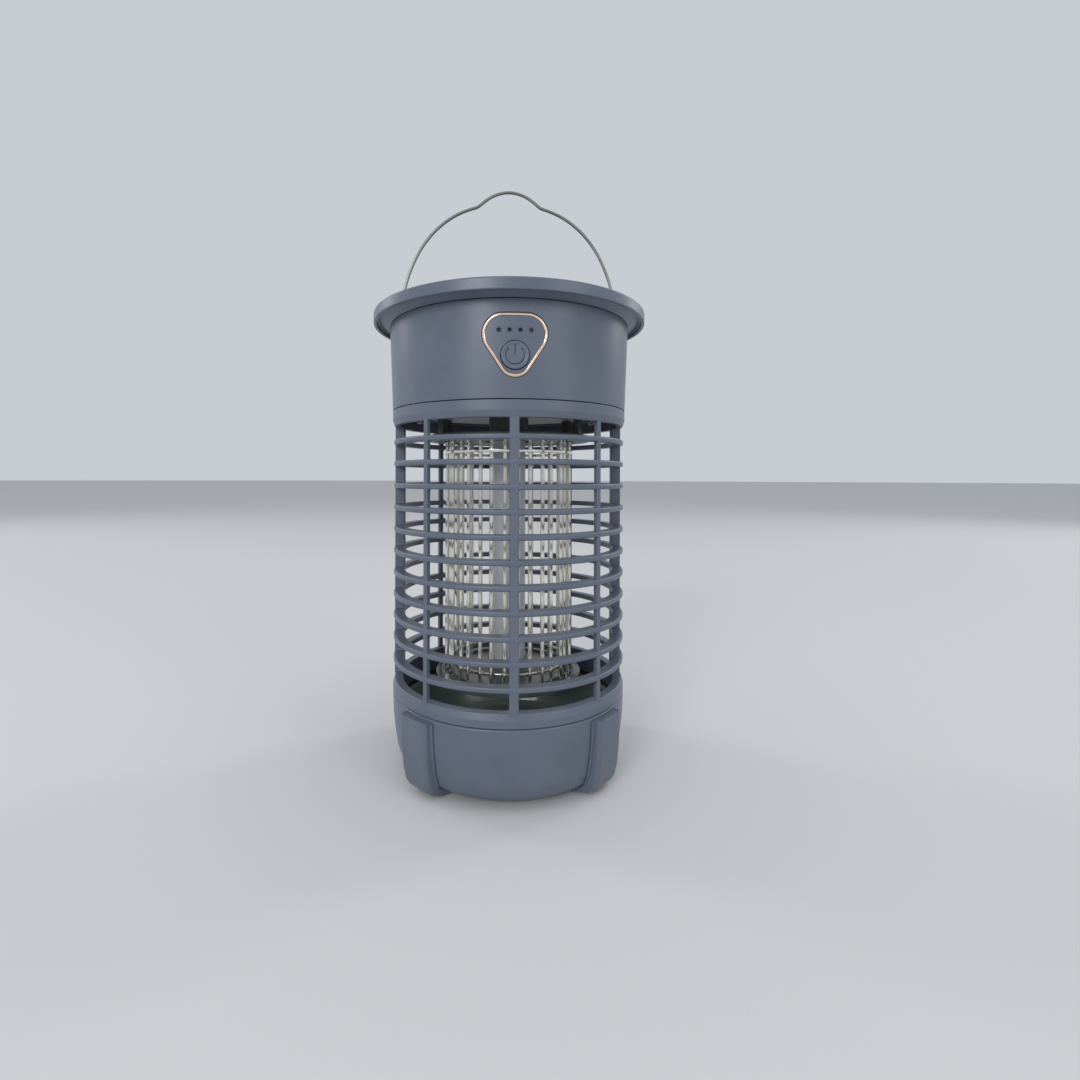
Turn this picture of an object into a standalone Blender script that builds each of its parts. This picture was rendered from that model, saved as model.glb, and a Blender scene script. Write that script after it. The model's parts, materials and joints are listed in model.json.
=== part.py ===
"""Electric bug zapper, the camping-lantern kind, built from its separate pieces.

A closed head with a brim, a wire bail and a charge panel sits on a slatted cage. The
cage surrounds a ring of high-voltage wires with an ultraviolet lamp in the middle, and
stands on a lift-off insect tray with four bumper feet.

Metres, +Z up, front towards -Y. The origin is on the floor, under the axis.
"""

import math

import bmesh
import bpy
from mathutils import Matrix, Vector

MM = 0.001
GAP = 0.3 * MM  # clearance between neighbouring pieces
AROUND = 32  # facets round a shell, a ring or a plate
AROUND_SMALL = 20  # facets round the lamp
SHARP_ANGLE = math.radians(35)

# Heights above the floor
TRAY_UNDERSIDE = 3.7 * MM
TRAY_RIM = 40.2 * MM
CAGE_BOTTOM = 40.6 * MM
LOWER_BAND_TOP = 47.3 * MM
UPPER_BAND_BOTTOM = 182.2 * MM
CAGE_TOP = 190.1 * MM
HOUSING_BOTTOM = 190.5 * MM
HOUSING_TOP = 235.4 * MM
BRIM_UNDERSIDE = 236.6 * MM
BRIM_TOP = 242.4 * MM
DISH_FLOOR = 239.8 * MM
SPIGOT_BOTTOM = 232.9 * MM  # of the lid's collar, inside the head's wall

# Radii of the shells
BRIM_RADIUS = 74.0 * MM
HOUSING_TOP_RADIUS = 65.3 * MM
HOUSING_BOTTOM_RADIUS = 63.7 * MM
WALL = 2.2 * MM
TRAY_RADIUS = 63.2 * MM

# Cage
RING_COUNT = 11
RING_PITCH = 11.57 * MM
LOWEST_RING = 57.8 * MM
RING_HEIGHT = 2.7 * MM
RING_RADIUS = 63.0 * MM
CAGE_INNER_RADIUS = 57.5 * MM
RIB_RADIUS = 62.8 * MM
WIDE_RIB_ANGLES = (0, 90, 180, 270)
NARROW_RIB_ANGLES = (48, 132, 228, 312)
WIDE_RIB = (4.4 * MM, 5.3 * MM)  # width, depth
NARROW_RIB = (2.6 * MM, 2.6 * MM)
SCREW_CIRCLE = 55.5 * MM
SCREW_ANGLES = (22, 158, 202, 338)
SCREW_HOLE_RADIUS = 1.7 * MM
SCREW_HEAD_RADIUS = 2.8 * MM
SCREW_HEAD_HEIGHT = 1.5 * MM
SHANK_RADIUS = 1.3 * MM
POST_RADIUS = 3.6 * MM
POST_BORE_DEPTH = 13 * MM
FLANGE_THICKNESS = 1.9 * MM  # of the cage's inner flange, under the head

# Feet
FOOT_ANGLES = {
    "front_left": 223.5,
    "front_right": 316.5,
    "rear_right": 43.5,
    "rear_left": 136.5,
}
FOOT_WIDTH = 19.0 * MM
FOOT_TOP = 39.0 * MM

# Bail
BAIL_WIRE_RADIUS = 0.85 * MM
BAIL_PIVOT_HEIGHT = BRIM_TOP + BAIL_WIRE_RADIUS + GAP

# Badge on the front of the head: two upper corner arcs and one lower one
BADGE_CORNER = 9.4 * MM
BADGE_CORNER_X = 5.55 * MM
BADGE_CORNER_Z = 219.5 * MM
BADGE_TIP = 7.6 * MM
BADGE_TIP_Z = 207.7 * MM
BADGE_LOW, BADGE_HIGH = 196 * MM, 232 * MM  # heights that clear the badge on both sides
BADGE_FRONT, BADGE_BACK = -70 * MM, -55 * MM  # depths that clear the front wall
BEZEL_WIDTH = 1.3 * MM
BUTTON_HEIGHT = 209.9 * MM
BUTTON_RADIUS = 6.4 * MM
BUTTON_FACE = -65.0 * MM
LED_HEIGHT = 221.3 * MM
LED_PITCH = 4.93 * MM
LED_COUNT = 4
BUTTON_BOARD_FRONT = -54.4 * MM

# Charging port on the back of the head
PORT_HEIGHT = 206.8 * MM
FLAP_WIDTH = 16.0 * MM
FLAP_HEIGHT = 9.0 * MM

# Killing grid and lamp
GRID_RADIUS = 33.5 * MM
GRID_STAGGER = 0.6 * MM  # live wires stand out by this, ground wires stand in
WIRES_PER_GRID = 16
GRID_WIRE_RADIUS = 1.05 * MM
GRID_BOTTOM = 47.6 * MM
GRID_TOP = 175.5 * MM
LIVE_BAND_HEIGHT = 168.2 * MM
GROUND_BAND_HEIGHT = 54.5 * MM
LAMP_RADIUS = 9.4 * MM
LAMP_BOTTOM = 50.0 * MM
LAMP_TOP = 179.6 * MM
SOCKET_RADIUS = 11.0 * MM
HEAD_UNDERSIDE = 188.6 * MM

MATERIALS = {
    "housing_plastic": ((0.125, 0.150, 0.205), 0.55, 0.0),
    "bezel_metal": ((0.78, 0.55, 0.42), 0.25, 1.0),
    "button_plastic": ((0.115, 0.140, 0.200), 0.5, 0.0),
    "led_lens": ((0.02, 0.03, 0.04), 0.2, 0.0),
    "bail_steel": ((0.42, 0.42, 0.38), 0.3, 1.0),
    "grid_steel": ((0.70, 0.68, 0.58), 0.2, 1.0),
    "insulator_plastic": ((0.045, 0.055, 0.055), 0.5, 0.0),
    "reflector_plastic": ((0.75, 0.75, 0.72), 0.3, 0.0),
    "lamp_plastic": ((0.42, 0.43, 0.46), 0.35, 0.0),
    "socket_plastic": ((0.16, 0.16, 0.155), 0.5, 0.0),
    "board_laminate": ((0.02, 0.14, 0.06), 0.4, 0.0),
    "battery_sleeve": ((0.05, 0.18, 0.42), 0.35, 0.0),
    "component_plastic": ((0.45, 0.33, 0.05), 0.4, 0.0),
    "screw_steel": ((0.5, 0.5, 0.5), 0.3, 1.0),
    "seal_rubber": ((0.02, 0.02, 0.022), 0.8, 0.0),
    "port_metal": ((0.6, 0.6, 0.62), 0.25, 1.0),
}


# ---------------------------------------------------------------- scene and materials


def clear_scene():
    for obj in list(bpy.data.objects):
        bpy.data.objects.remove(obj, do_unlink=True)


def new_collection(name):
    collection = bpy.data.collections.new(name)
    bpy.context.scene.collection.children.link(collection)
    return collection


def new_material(name):
    color, roughness, metallic = MATERIALS[name]
    material = bpy.data.materials.new(name)
    material.use_nodes = True
    shader = material.node_tree.nodes["Principled BSDF"]
    shader.inputs["Base Color"].default_value = (*color, 1)
    shader.inputs["Roughness"].default_value = roughness
    shader.inputs["Metallic"].default_value = metallic
    return material


# ---------------------------------------------------------------- shape helpers


def place(name, data, material=None):
    """Make an object: a piece when it has a material, otherwise a cutter."""
    obj = bpy.data.objects.new(name, data)
    if material:
        PIECES.objects.link(obj)
        obj.data.materials.append(MATERIAL_OF[material])
    else:
        CUTTERS.objects.link(obj)
        obj.hide_render = True
        obj.display_type = "WIRE"
    return obj


def mesh_of(name, bm):
    mesh = bpy.data.meshes.new(name)
    bm.to_mesh(mesh)
    bm.free()
    return mesh


def turned(name, outlines, material=None, closed=True, steps=AROUND):
    """Turn outlines of (radius, height) about Z. Each runs down its outer side first."""
    bm = bmesh.new()
    for outline in outlines:
        points = [bm.verts.new((radius, 0, height)) for radius, height in outline]
        for start, end in zip(points, points[1:]):
            bm.edges.new((start, end))
        if closed:
            bm.edges.new((points[-1], points[0]))
    obj = place(name, mesh_of(name, bm), material)
    screw = obj.modifiers.new("turn", "SCREW")
    screw.steps = screw.render_steps = steps
    screw.use_merge_vertices = True
    screw.merge_threshold = 0.00001
    return apply_modifiers(obj)


def block(name, size, centre, material=None, turn=0.0):
    """A box of this size, turned about Z (degrees) round the object's axis."""
    bm = bmesh.new()
    bmesh.ops.create_cube(bm, size=1, matrix=Matrix.Diagonal((*size, 1)))
    spin = Matrix.Rotation(math.radians(turn), 4, "Z")
    bmesh.ops.transform(bm, matrix=spin @ Matrix.Translation(centre), verts=bm.verts)
    return place(name, mesh_of(name, bm), material)


def rod(name, radius, start, end, material=None, sides=16):
    """A cylinder between two points."""
    start, end = Vector(start), Vector(end)
    axis = end - start
    bm = bmesh.new()
    bmesh.ops.create_cone(
        bm,
        cap_ends=True,
        segments=sides,
        radius1=radius,
        radius2=radius,
        depth=axis.length,
    )
    swing = axis.to_track_quat("Z", "Y").to_matrix().to_4x4()
    bmesh.ops.transform(
        bm, matrix=Matrix.Translation((start + end) / 2) @ swing, verts=bm.verts
    )
    return place(name, mesh_of(name, bm), material)


def mesh_from_curve(curve, material):
    """Swap a curve object for a welded mesh object of the same name and place."""
    graph = bpy.context.evaluated_depsgraph_get()
    mesh = bpy.data.meshes.new_from_object(curve.evaluated_get(graph))
    bm = bmesh.new()
    bm.from_mesh(mesh)
    bmesh.ops.remove_doubles(bm, verts=bm.verts, dist=0.00001)
    bmesh.ops.recalc_face_normals(bm, faces=bm.faces)
    bm.to_mesh(mesh)
    bm.free()
    name, matrix = curve.name, curve.matrix_world.copy()
    mesh.materials.clear()
    bpy.data.objects.remove(curve)
    obj = place(name, mesh, material)
    obj.matrix_world = matrix
    return obj


def flat_outline(name, points, thickness, matrix, material=None):
    """Extrude a closed outline in its own XY plane to both sides, then place it."""
    curve = bpy.data.curves.new(name, "CURVE")
    curve.dimensions = "2D"
    curve.fill_mode = "BOTH"
    curve.extrude = thickness / 2
    spline = curve.splines.new("POLY")
    spline.points.add(len(points) - 1)
    for point, (x, y) in zip(spline.points, points):
        point.co = (x, y, 0, 1)
    spline.use_cyclic_u = True
    obj = place(name, curve, None)
    obj.matrix_world = matrix
    bpy.context.view_layer.update()
    return mesh_from_curve(obj, material)


def apply_modifiers(obj):
    graph = bpy.context.evaluated_depsgraph_get()
    mesh = bpy.data.meshes.new_from_object(obj.evaluated_get(graph))
    obj.modifiers.clear()
    obj.data = mesh
    return obj


def combine(obj, other, operation):
    """Apply one exact Boolean, and put the other object away if it was a cutter."""
    boolean = obj.modifiers.new(other.name, "BOOLEAN")
    boolean.operation = operation
    boolean.solver = "EXACT"
    boolean.object = other
    return apply_modifiers(obj)


def cut(obj, *cutters):
    for cutter in cutters:
        combine(obj, cutter, "DIFFERENCE")
    return obj


def join(obj, *others):
    for other in others:
        combine(obj, other, "UNION")
    return obj


def keep_inside(obj, cutter):
    return combine(obj, cutter, "INTERSECT")


def bevel(obj, width, segments=2):
    edge = obj.modifiers.new("edge", "BEVEL")
    edge.width = width
    edge.segments = segments
    edge.limit_method = "ANGLE"
    edge.angle_limit = math.radians(40)
    return apply_modifiers(obj)


def around(radius, degrees, height):
    """A point at this radius and height, with 0 degrees at +X and 90 at +Y."""
    angle = math.radians(degrees)
    return Vector((radius * math.cos(angle), radius * math.sin(angle), height))


def wall_radius(height):
    """Outer radius of the head's tapered wall."""
    share = (height - HOUSING_BOTTOM) / (HOUSING_TOP - HOUSING_BOTTOM)
    return HOUSING_BOTTOM_RADIUS + share * (HOUSING_TOP_RADIUS - HOUSING_BOTTOM_RADIUS)


def wall_band(name, low, high, out, depth, material=None):
    """A turned band that follows the head's wall, standing out of it by `out`."""
    outline = [
        (wall_radius(high) + out, high),
        (wall_radius(low) + out, low),
        (wall_radius(low) + out - depth, low),
        (wall_radius(high) + out - depth, high),
    ]
    return turned(name, [outline], material)


# ---------------------------------------------------------------- head


def build_top_cover():
    """The lid with its overhanging brim, a shallow dish on top and a lip below."""
    lip = 1.7 * MM
    groove_top = BRIM_UNDERSIDE + WALL
    dish_radius = 69.0 * MM
    outline = [
        (0, DISH_FLOOR),
        (dish_radius - 1.5 * MM, DISH_FLOOR),
        (dish_radius, BRIM_TOP - 0.4 * MM),
        (dish_radius + 0.6 * MM, BRIM_TOP),
        (BRIM_RADIUS - 0.9 * MM, BRIM_TOP),
        (BRIM_RADIUS, BRIM_TOP - 0.9 * MM),
        (BRIM_RADIUS, BRIM_UNDERSIDE),
        (BRIM_RADIUS - lip, BRIM_UNDERSIDE),
        (BRIM_RADIUS - lip, groove_top),
        (71.0 * MM, groove_top),
        (HOUSING_TOP_RADIUS, HOUSING_TOP + GAP),
        (HOUSING_TOP_RADIUS - WALL - GAP, HOUSING_TOP + GAP),
        (HOUSING_TOP_RADIUS - WALL - GAP, SPIGOT_BOTTOM),
        (HOUSING_TOP_RADIUS - 2 * WALL, SPIGOT_BOTTOM),
        (HOUSING_TOP_RADIUS - 2 * WALL, DISH_FLOOR - WALL),
        (0, DISH_FLOOR - WALL),
    ]
    cover = turned("top_cover", [outline], "housing_plastic", closed=False)
    for index, degrees in enumerate(SCREW_ANGLES):
        low = around(SCREW_CIRCLE, degrees, DISH_FLOOR - 2 * WALL)
        high = around(SCREW_CIRCLE, degrees, BRIM_TOP + WALL)
        cut(cover, rod(f"cover_hole_{index}", SCREW_HOLE_RADIUS, low, high, sides=12))
    return cover


def build_screw(name, degrees, head_start, head_end, tip):
    """A round head between two heights and a shank from inside it to the tip's height."""
    heights = (head_start, head_end, (head_start + head_end) / 2, tip)
    start, end, inside, tip_point = (around(SCREW_CIRCLE, degrees, h) for h in heights)
    head = rod(name, SCREW_HEAD_RADIUS, start, end, "screw_steel")
    return join(head, rod(f"{name}_shank", SHANK_RADIUS, inside, tip_point, sides=12))


def build_cover_screw(index, degrees):
    """Holds the lid to a post of the housing."""
    low = DISH_FLOOR + GAP
    build_screw(
        f"cover_screw_{index}", degrees, low, low + SCREW_HEAD_HEIGHT, HOUSING_TOP - 12 * MM
    )


def build_upper_housing():
    """The head's tapered wall, with four screw posts inside it."""
    wall = wall_band("upper_housing", HOUSING_BOTTOM, HOUSING_TOP, 0, WALL, "housing_plastic")
    for index, degrees in enumerate(SCREW_ANGLES):
        low = around(SCREW_CIRCLE + MM, degrees, HOUSING_BOTTOM + WALL + GAP)
        high = around(SCREW_CIRCLE + MM, degrees, SPIGOT_BOTTOM - 0.4 * MM)
        post = rod(f"post_{index}", POST_RADIUS, low, high, sides=12)
        web_size = (5 * MM, 2.4 * MM, (high - low).z)
        web_centre = (SCREW_CIRCLE + 5 * MM, 0, (high + low).z / 2)
        web = block(f"web_{index}", web_size, web_centre, turn=degrees)
        join(wall, post, web)
        for end, depth in ((low, POST_BORE_DEPTH), (high, -POST_BORE_DEPTH)):
            centre = around(SCREW_CIRCLE, degrees, end.z)
            mouth = centre - Vector((0, 0, math.copysign(MM, depth)))
            bottom = centre + Vector((0, 0, depth))
            cut(wall, rod(f"post_bore_{index}", SCREW_HOLE_RADIUS, mouth, bottom, sides=12))
    opening = badge_prism("badge_opening", GAP)
    port_size = (11 * MM, 12 * MM, 5.4 * MM)
    port = block("port_opening", port_size, (0, 62 * MM, PORT_HEIGHT))
    return cut(wall, opening, port)


def badge_outline(grow):
    """Points of the rounded triangle, each corner radius larger by `grow`."""
    dx, dz = BADGE_CORNER_X, BADGE_CORNER_Z - BADGE_TIP_Z
    lean = math.atan2(dz, dx)
    side = lean - math.pi / 2 - math.asin((BADGE_CORNER - BADGE_TIP) / math.hypot(dx, dz))
    arcs = [
        (BADGE_CORNER_X, BADGE_CORNER_Z, BADGE_CORNER + grow, side, math.pi / 2, 6),
        (-BADGE_CORNER_X, BADGE_CORNER_Z, BADGE_CORNER + grow, math.pi / 2, math.pi - side, 6),
        (0, BADGE_TIP_Z, BADGE_TIP + grow, math.pi - side, 2 * math.pi + side, 7),
    ]
    points = []
    for x, z, radius, start, end, steps in arcs:
        for step in range(steps + 1):
            angle = start + (end - start) * step / steps
            points.append((x + radius * math.cos(angle), z + radius * math.sin(angle)))
    return points


def badge_prism(name, grow):
    """The badge's outline as a bar that runs through the head's front wall."""
    facing = Matrix.Translation((0, -62 * MM, 0)) @ Matrix.Rotation(math.pi / 2, 4, "X")
    return flat_outline(name, badge_outline(grow), 16 * MM, facing)


def front_rod(name, radius, x, z, start, end, material=None, sides=16):
    return rod(name, radius, (x, start, z), (x, end, z), material, sides)


def build_badge_bezel():
    proud = 0.5 * MM
    bezel = wall_band(
        "badge_bezel", BADGE_LOW, BADGE_HIGH, proud, WALL + proud, "bezel_metal"
    )
    keep_inside(bezel, badge_prism("bezel_outside", 0))
    return cut(bezel, badge_prism("bezel_inside", -BEZEL_WIDTH))


def led_places():
    middle = (LED_COUNT - 1) / 2
    return [(index - middle) * LED_PITCH for index in range(LED_COUNT)]


def build_badge_panel():
    sunk, through = -0.2 * MM, (BADGE_FRONT, BADGE_BACK)
    panel = wall_band("badge_panel", BADGE_LOW, BADGE_HIGH, sunk, WALL, "housing_plastic")
    keep_inside(panel, badge_prism("panel_outside", -BEZEL_WIDTH - GAP))
    button_hole = BUTTON_RADIUS + 0.4 * MM
    cut(panel, front_rod("button_hole", button_hole, 0, BUTTON_HEIGHT, *through, sides=24))
    for index, x in enumerate(led_places()):
        hole_name = f"led_hole_{index}"
        cut(panel, front_rod(hole_name, 0.9 * MM, x, LED_HEIGHT, *through, sides=10))
    for side in (-1, 1):
        post = front_rod(
            f"board_post_{side}",
            1.4 * MM,
            side * 9.6 * MM,
            214.5 * MM,
            -63 * MM,
            BUTTON_BOARD_FRONT - GAP,
            sides=10,
        )
        join(panel, post)
    return panel


def build_power_button():
    """Round key with a flange that keeps it behind the panel and a stem to the switch."""
    flange_front, flange_back, stem_tip = -60.9 * MM, -60.0 * MM, -58.7 * MM
    height, key_back = BUTTON_HEIGHT, flange_front + GAP
    key = front_rod(
        "power_button", BUTTON_RADIUS, 0, height, BUTTON_FACE, key_back, "button_plastic", 24
    )
    bevel(key, 0.5 * MM, 1)
    flange = front_rod("flange", 7.6 * MM, 0, height, flange_front, flange_back, sides=24)
    stem = front_rod("stem", 1.5 * MM, 0, height, flange_back - GAP, stem_tip, sides=10)
    return join(key, flange, stem)


def build_button_board():
    """The small board behind the badge, with its switch and four charge lights."""
    board_size = (30 * MM, 1.6 * MM, 26 * MM)
    board_centre = (0, BUTTON_BOARD_FRONT + 0.8 * MM, 213 * MM)
    block("button_board", board_size, board_centre, "board_laminate")
    switch_centre = (0, BUTTON_BOARD_FRONT - GAP - 1.3 * MM, BUTTON_HEIGHT)
    block("tact_switch", (6 * MM, 2.6 * MM, 6 * MM), switch_centre, "component_plastic")
    for index, x in enumerate(led_places()):
        front_rod(
            f"charge_led_{index + 1}",
            1.5 * MM,
            x,
            LED_HEIGHT,
            -61.0 * MM,
            BUTTON_BOARD_FRONT - GAP,
            "led_lens",
            sides=12,
        )


def build_charging_port():
    """A metal socket on its board, and the rubber flap that hangs over it outside."""
    board_top = PORT_HEIGHT - 2.0 * MM
    board_centre = (0, 52 * MM, board_top - 0.8 * MM)
    block("charge_board", (22 * MM, 17 * MM, 1.6 * MM), board_centre, "board_laminate")
    socket_centre = (0, 57.3 * MM, PORT_HEIGHT)
    socket = block("charging_socket", (9 * MM, 8 * MM, 3.3 * MM), socket_centre, "port_metal")
    bevel(socket, 0.9 * MM, 2)
    cut(socket, block("socket_mouth", (7.8 * MM, 6 * MM, 2.2 * MM), (0, 59.3 * MM, PORT_HEIGHT)))
    low, high = PORT_HEIGHT - FLAP_HEIGHT / 2, PORT_HEIGHT + FLAP_HEIGHT / 2
    thickness = 1.5 * MM
    flap = wall_band("port_cover", low, high, GAP + thickness, thickness, "seal_rubber")
    area_size = (FLAP_WIDTH, 20 * MM, 2 * FLAP_HEIGHT)
    keep_inside(flap, block("flap_area", area_size, (0, 65 * MM, PORT_HEIGHT)))


def bail_outline():
    """Right half of the bail from its peak down to the pivot, as (x, height)."""
    return [
        (0, 314.7),
        (4.7, 313.9),
        (9.2, 312.2),
        (13.1, 309.7),
        (17.5, 306.2),
        (22.0, 304.6),
        (28.2, 302.0),
        (34.5, 298.1),
        (40.5, 293.0),
        (45.5, 287.3),
        (50.0, 280.6),
        (53.7, 273.0),
        (56.5, 265.5),
        (58.2, 258.5),
        (58.9, 251.0),
        (58.9, 245.2),
        (59.4, 244.0),
        (60.6, BAIL_PIVOT_HEIGHT / MM),
        (64.6, BAIL_PIVOT_HEIGHT / MM),
    ]


def build_bail():
    """One bent wire whose ends turn outwards into the sockets."""
    half = bail_outline()
    route = [(-x, z) for x, z in reversed(half[1:])] + half
    curve = bpy.data.curves.new("bail_handle", "CURVE")
    curve.dimensions = "3D"
    curve.bevel_depth = BAIL_WIRE_RADIUS
    curve.bevel_resolution = 1
    curve.use_fill_caps = True
    spline = curve.splines.new("POLY")
    spline.points.add(len(route) - 1)
    for point, (x, z) in zip(spline.points, route):
        point.co = (x * MM, 0, z * MM - BAIL_PIVOT_HEIGHT, 1)
    guide = place("bail_handle", curve, None)
    guide.location.z = BAIL_PIVOT_HEIGHT
    bpy.context.view_layer.update()
    return mesh_from_curve(guide, "bail_steel")


def build_bail_socket(name, side):
    """A round-topped lug on the lid, bored along X for the bail's end."""
    floor = DISH_FLOOR + GAP
    thickness, half_width = 4.8 * MM, 4.5 * MM
    outline = [(-half_width, floor), (half_width, floor)]
    for step in range(11):
        angle = math.pi * step / 10
        outline.append(
            (half_width * math.cos(angle), BAIL_PIVOT_HEIGHT + half_width * math.sin(angle))
        )
    middle = Vector((side * 63 * MM, 0, 0))
    facing = Matrix.Rotation(math.pi / 2, 4, "Z") @ Matrix.Rotation(math.pi / 2, 4, "X")
    lug = flat_outline(
        name, outline, thickness, Matrix.Translation(middle) @ facing, "housing_plastic"
    )
    start = (middle.x - thickness, 0, BAIL_PIVOT_HEIGHT)
    end = (middle.x + thickness, 0, BAIL_PIVOT_HEIGHT)
    return cut(lug, rod(f"{name}_bore", BAIL_WIRE_RADIUS + GAP, start, end, sides=16))


def build_head_floor():
    """The plate that closes the head from below, with four pillars for the board."""
    low, high = HOUSING_BOTTOM, HOUSING_BOTTOM + WALL
    radius = HOUSING_BOTTOM_RADIUS - WALL - GAP
    outline = [(0, high), (radius, high), (radius, low), (0, low)]
    floor = turned("head_floor", [outline], "housing_plastic", closed=False)
    for index, degrees in enumerate(SCREW_ANGLES):
        start = around(SCREW_CIRCLE, degrees, low - MM)
        end = around(SCREW_CIRCLE, degrees, high + MM)
        cut(floor, rod(f"floor_hole_{index}", SCREW_HOLE_RADIUS, start, end, sides=12))
    for index, (x, y) in enumerate(((-38, -10), (38, -10), (-38, 24), (38, 24))):
        foot = Vector((x * MM, y * MM, low + MM))
        join(floor, rod(f"pillar_{index}", 2.4 * MM, foot, foot + Vector((0, 0, 4 * MM)), sides=10))
    return floor


def build_electronics():
    """Control board with its high-voltage parts, and two cells in a cradle over them."""
    board_low = HOUSING_BOTTOM + 5 * MM + GAP
    part_low = board_low + 1.6 * MM + GAP
    board_centre = (0, 7 * MM, board_low + 0.8 * MM)
    block("control_board", (88 * MM, 44 * MM, 1.6 * MM), board_centre, "board_laminate")
    transformer = block(
        "step_up_transformer",
        (20 * MM, 17 * MM, 12 * MM),
        (-26 * MM, 6 * MM, part_low + 6 * MM),
        "component_plastic",
    )
    bevel(transformer, 1 * MM, 1)
    capacitor = block(
        "storage_capacitor",
        (24 * MM, 9 * MM, 11 * MM),
        (10 * MM, 4 * MM, part_low + 5.5 * MM),
        "component_plastic",
    )
    bevel(capacitor, 1 * MM, 1)
    build_battery_pack(part_low)


def build_battery_pack(board_top):
    """Two cells side by side in a cradle that stands on the board on four legs."""
    leg_height = 13 * MM
    low = board_top + leg_height
    cell_radius, cell_length = 9.2 * MM, 65 * MM
    cell_height = low + 2 * MM + cell_radius + GAP
    cell_places = {"front": -3 * MM, "rear": 17 * MM}
    cradle_size = (72 * MM, 42 * MM, 8 * MM)
    cradle = block(
        "battery_cradle", cradle_size, (0, 7 * MM, low + 4 * MM), "insulator_plastic"
    )
    for index, (x, y) in enumerate(((-34, -12), (34, -12), (-34, 26), (34, 26))):
        leg_size = (4 * MM, 4 * MM, leg_height + MM)
        leg_centre = (x * MM, y * MM, board_top + (leg_height + MM) / 2)
        join(cradle, block(f"cradle_leg_{index}", leg_size, leg_centre))
    for place_name, y in cell_places.items():
        start = (-cell_length / 2, y, cell_height)
        end = (cell_length / 2, y, cell_height)
        rod(f"battery_cell_{place_name}", cell_radius, start, end, "battery_sleeve", sides=24)
        wide = (-cell_length / 2 - GAP, y, cell_height), (cell_length / 2 + GAP, y, cell_height)
        cut(cradle, rod(f"cell_bay_{place_name}", cell_radius + GAP, *wide, sides=24))


# ---------------------------------------------------------------- cage, grid and lamp


def ring_outline(middle):
    top, bottom = middle + RING_HEIGHT / 2, middle - RING_HEIGHT / 2
    return [
        (RING_RADIUS, top),
        (RING_RADIUS, bottom),
        (CAGE_INNER_RADIUS, bottom),
        (CAGE_INNER_RADIUS, top),
    ]


def build_cage():
    """Eleven rings and two end bands on eight ribs, one moulding."""
    upper_band = [
        (HOUSING_BOTTOM_RADIUS, CAGE_TOP),
        (HOUSING_BOTTOM_RADIUS, 185.3 * MM),
        (RIB_RADIUS, UPPER_BAND_BOTTOM),
        (59.5 * MM, UPPER_BAND_BOTTOM),
        (59.5 * MM, CAGE_TOP - FLANGE_THICKNESS),
        (51.0 * MM, CAGE_TOP - FLANGE_THICKNESS),
        (51.0 * MM, CAGE_TOP),
    ]
    lower_band = [
        (62.4 * MM, LOWER_BAND_TOP),
        (TRAY_RADIUS, 44.0 * MM),
        (TRAY_RADIUS, CAGE_BOTTOM),
        (60.6 * MM, CAGE_BOTTOM),
        (60.4 * MM, CAGE_BOTTOM - 6 * MM),
        (58.8 * MM, CAGE_BOTTOM - 6 * MM),
        (58.8 * MM, LOWER_BAND_TOP - 2 * MM),
        (CAGE_INNER_RADIUS, LOWER_BAND_TOP),
    ]
    rings = [ring_outline(LOWEST_RING + index * RING_PITCH) for index in range(RING_COUNT)]
    cage = turned("cage", [upper_band, lower_band, *rings], "housing_plastic")
    length = UPPER_BAND_BOTTOM - LOWER_BAND_TOP + 2 * MM
    middle = (UPPER_BAND_BOTTOM + LOWER_BAND_TOP) / 2
    for angles, (width, depth) in ((WIDE_RIB_ANGLES, WIDE_RIB), (NARROW_RIB_ANGLES, NARROW_RIB)):
        for degrees in angles:
            centre = (RIB_RADIUS - depth / 2, 0, middle)
            size = (depth, width, length)
            join(cage, block(f"rib_{degrees}", size, centre, turn=degrees - 90))
    for index, degrees in enumerate(SCREW_ANGLES):
        start = around(SCREW_CIRCLE, degrees, CAGE_TOP - 4 * MM)
        end = around(SCREW_CIRCLE, degrees, CAGE_TOP + 2 * MM)
        cut(cage, rod(f"flange_hole_{index}", SCREW_HOLE_RADIUS, start, end, sides=12))
    return cage


def build_cage_screw(index, degrees):
    """Holds the cage's flange and the head's floor to a post of the housing."""
    high = CAGE_TOP - FLANGE_THICKNESS - GAP
    build_screw(
        f"cage_screw_{index}", degrees, high - SCREW_HEAD_HEIGHT, high, HOUSING_BOTTOM + 13 * MM
    )


def build_grid(name, first_angle, wire_circle, band_radii, band_height):
    """Upright wires on one circle, all joined by one thin band."""
    inner, outer = band_radii
    half = 0.8 * MM
    outline = [
        (outer, band_height + half),
        (outer, band_height - half),
        (inner, band_height - half),
        (inner, band_height + half),
    ]
    grid = turned(name, [outline], "grid_steel")
    for index in range(WIRES_PER_GRID):
        degrees = first_angle + index * 360 / WIRES_PER_GRID
        low = around(wire_circle, degrees, GRID_BOTTOM)
        high = around(wire_circle, degrees, GRID_TOP)
        join(grid, rod(f"{name}_wire_{index}", GRID_WIRE_RADIUS, low, high, sides=6))
    return grid


def build_grids():
    """Live wires and ground wires take turns round the lamp and never touch."""
    step = 360 / WIRES_PER_GRID
    live_circle = GRID_RADIUS + GRID_STAGGER
    ground_circle = GRID_RADIUS - GRID_STAGGER
    live_band = (live_circle + 0.5 * MM, live_circle + 1.5 * MM)
    ground_band = (ground_circle - 1.5 * MM, ground_circle - 0.5 * MM)
    build_grid("live_grid", step / 4, live_circle, live_band, LIVE_BAND_HEIGHT)
    build_grid("ground_grid", 3 * step / 4, ground_circle, ground_band, GROUND_BAND_HEIGHT)


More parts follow.
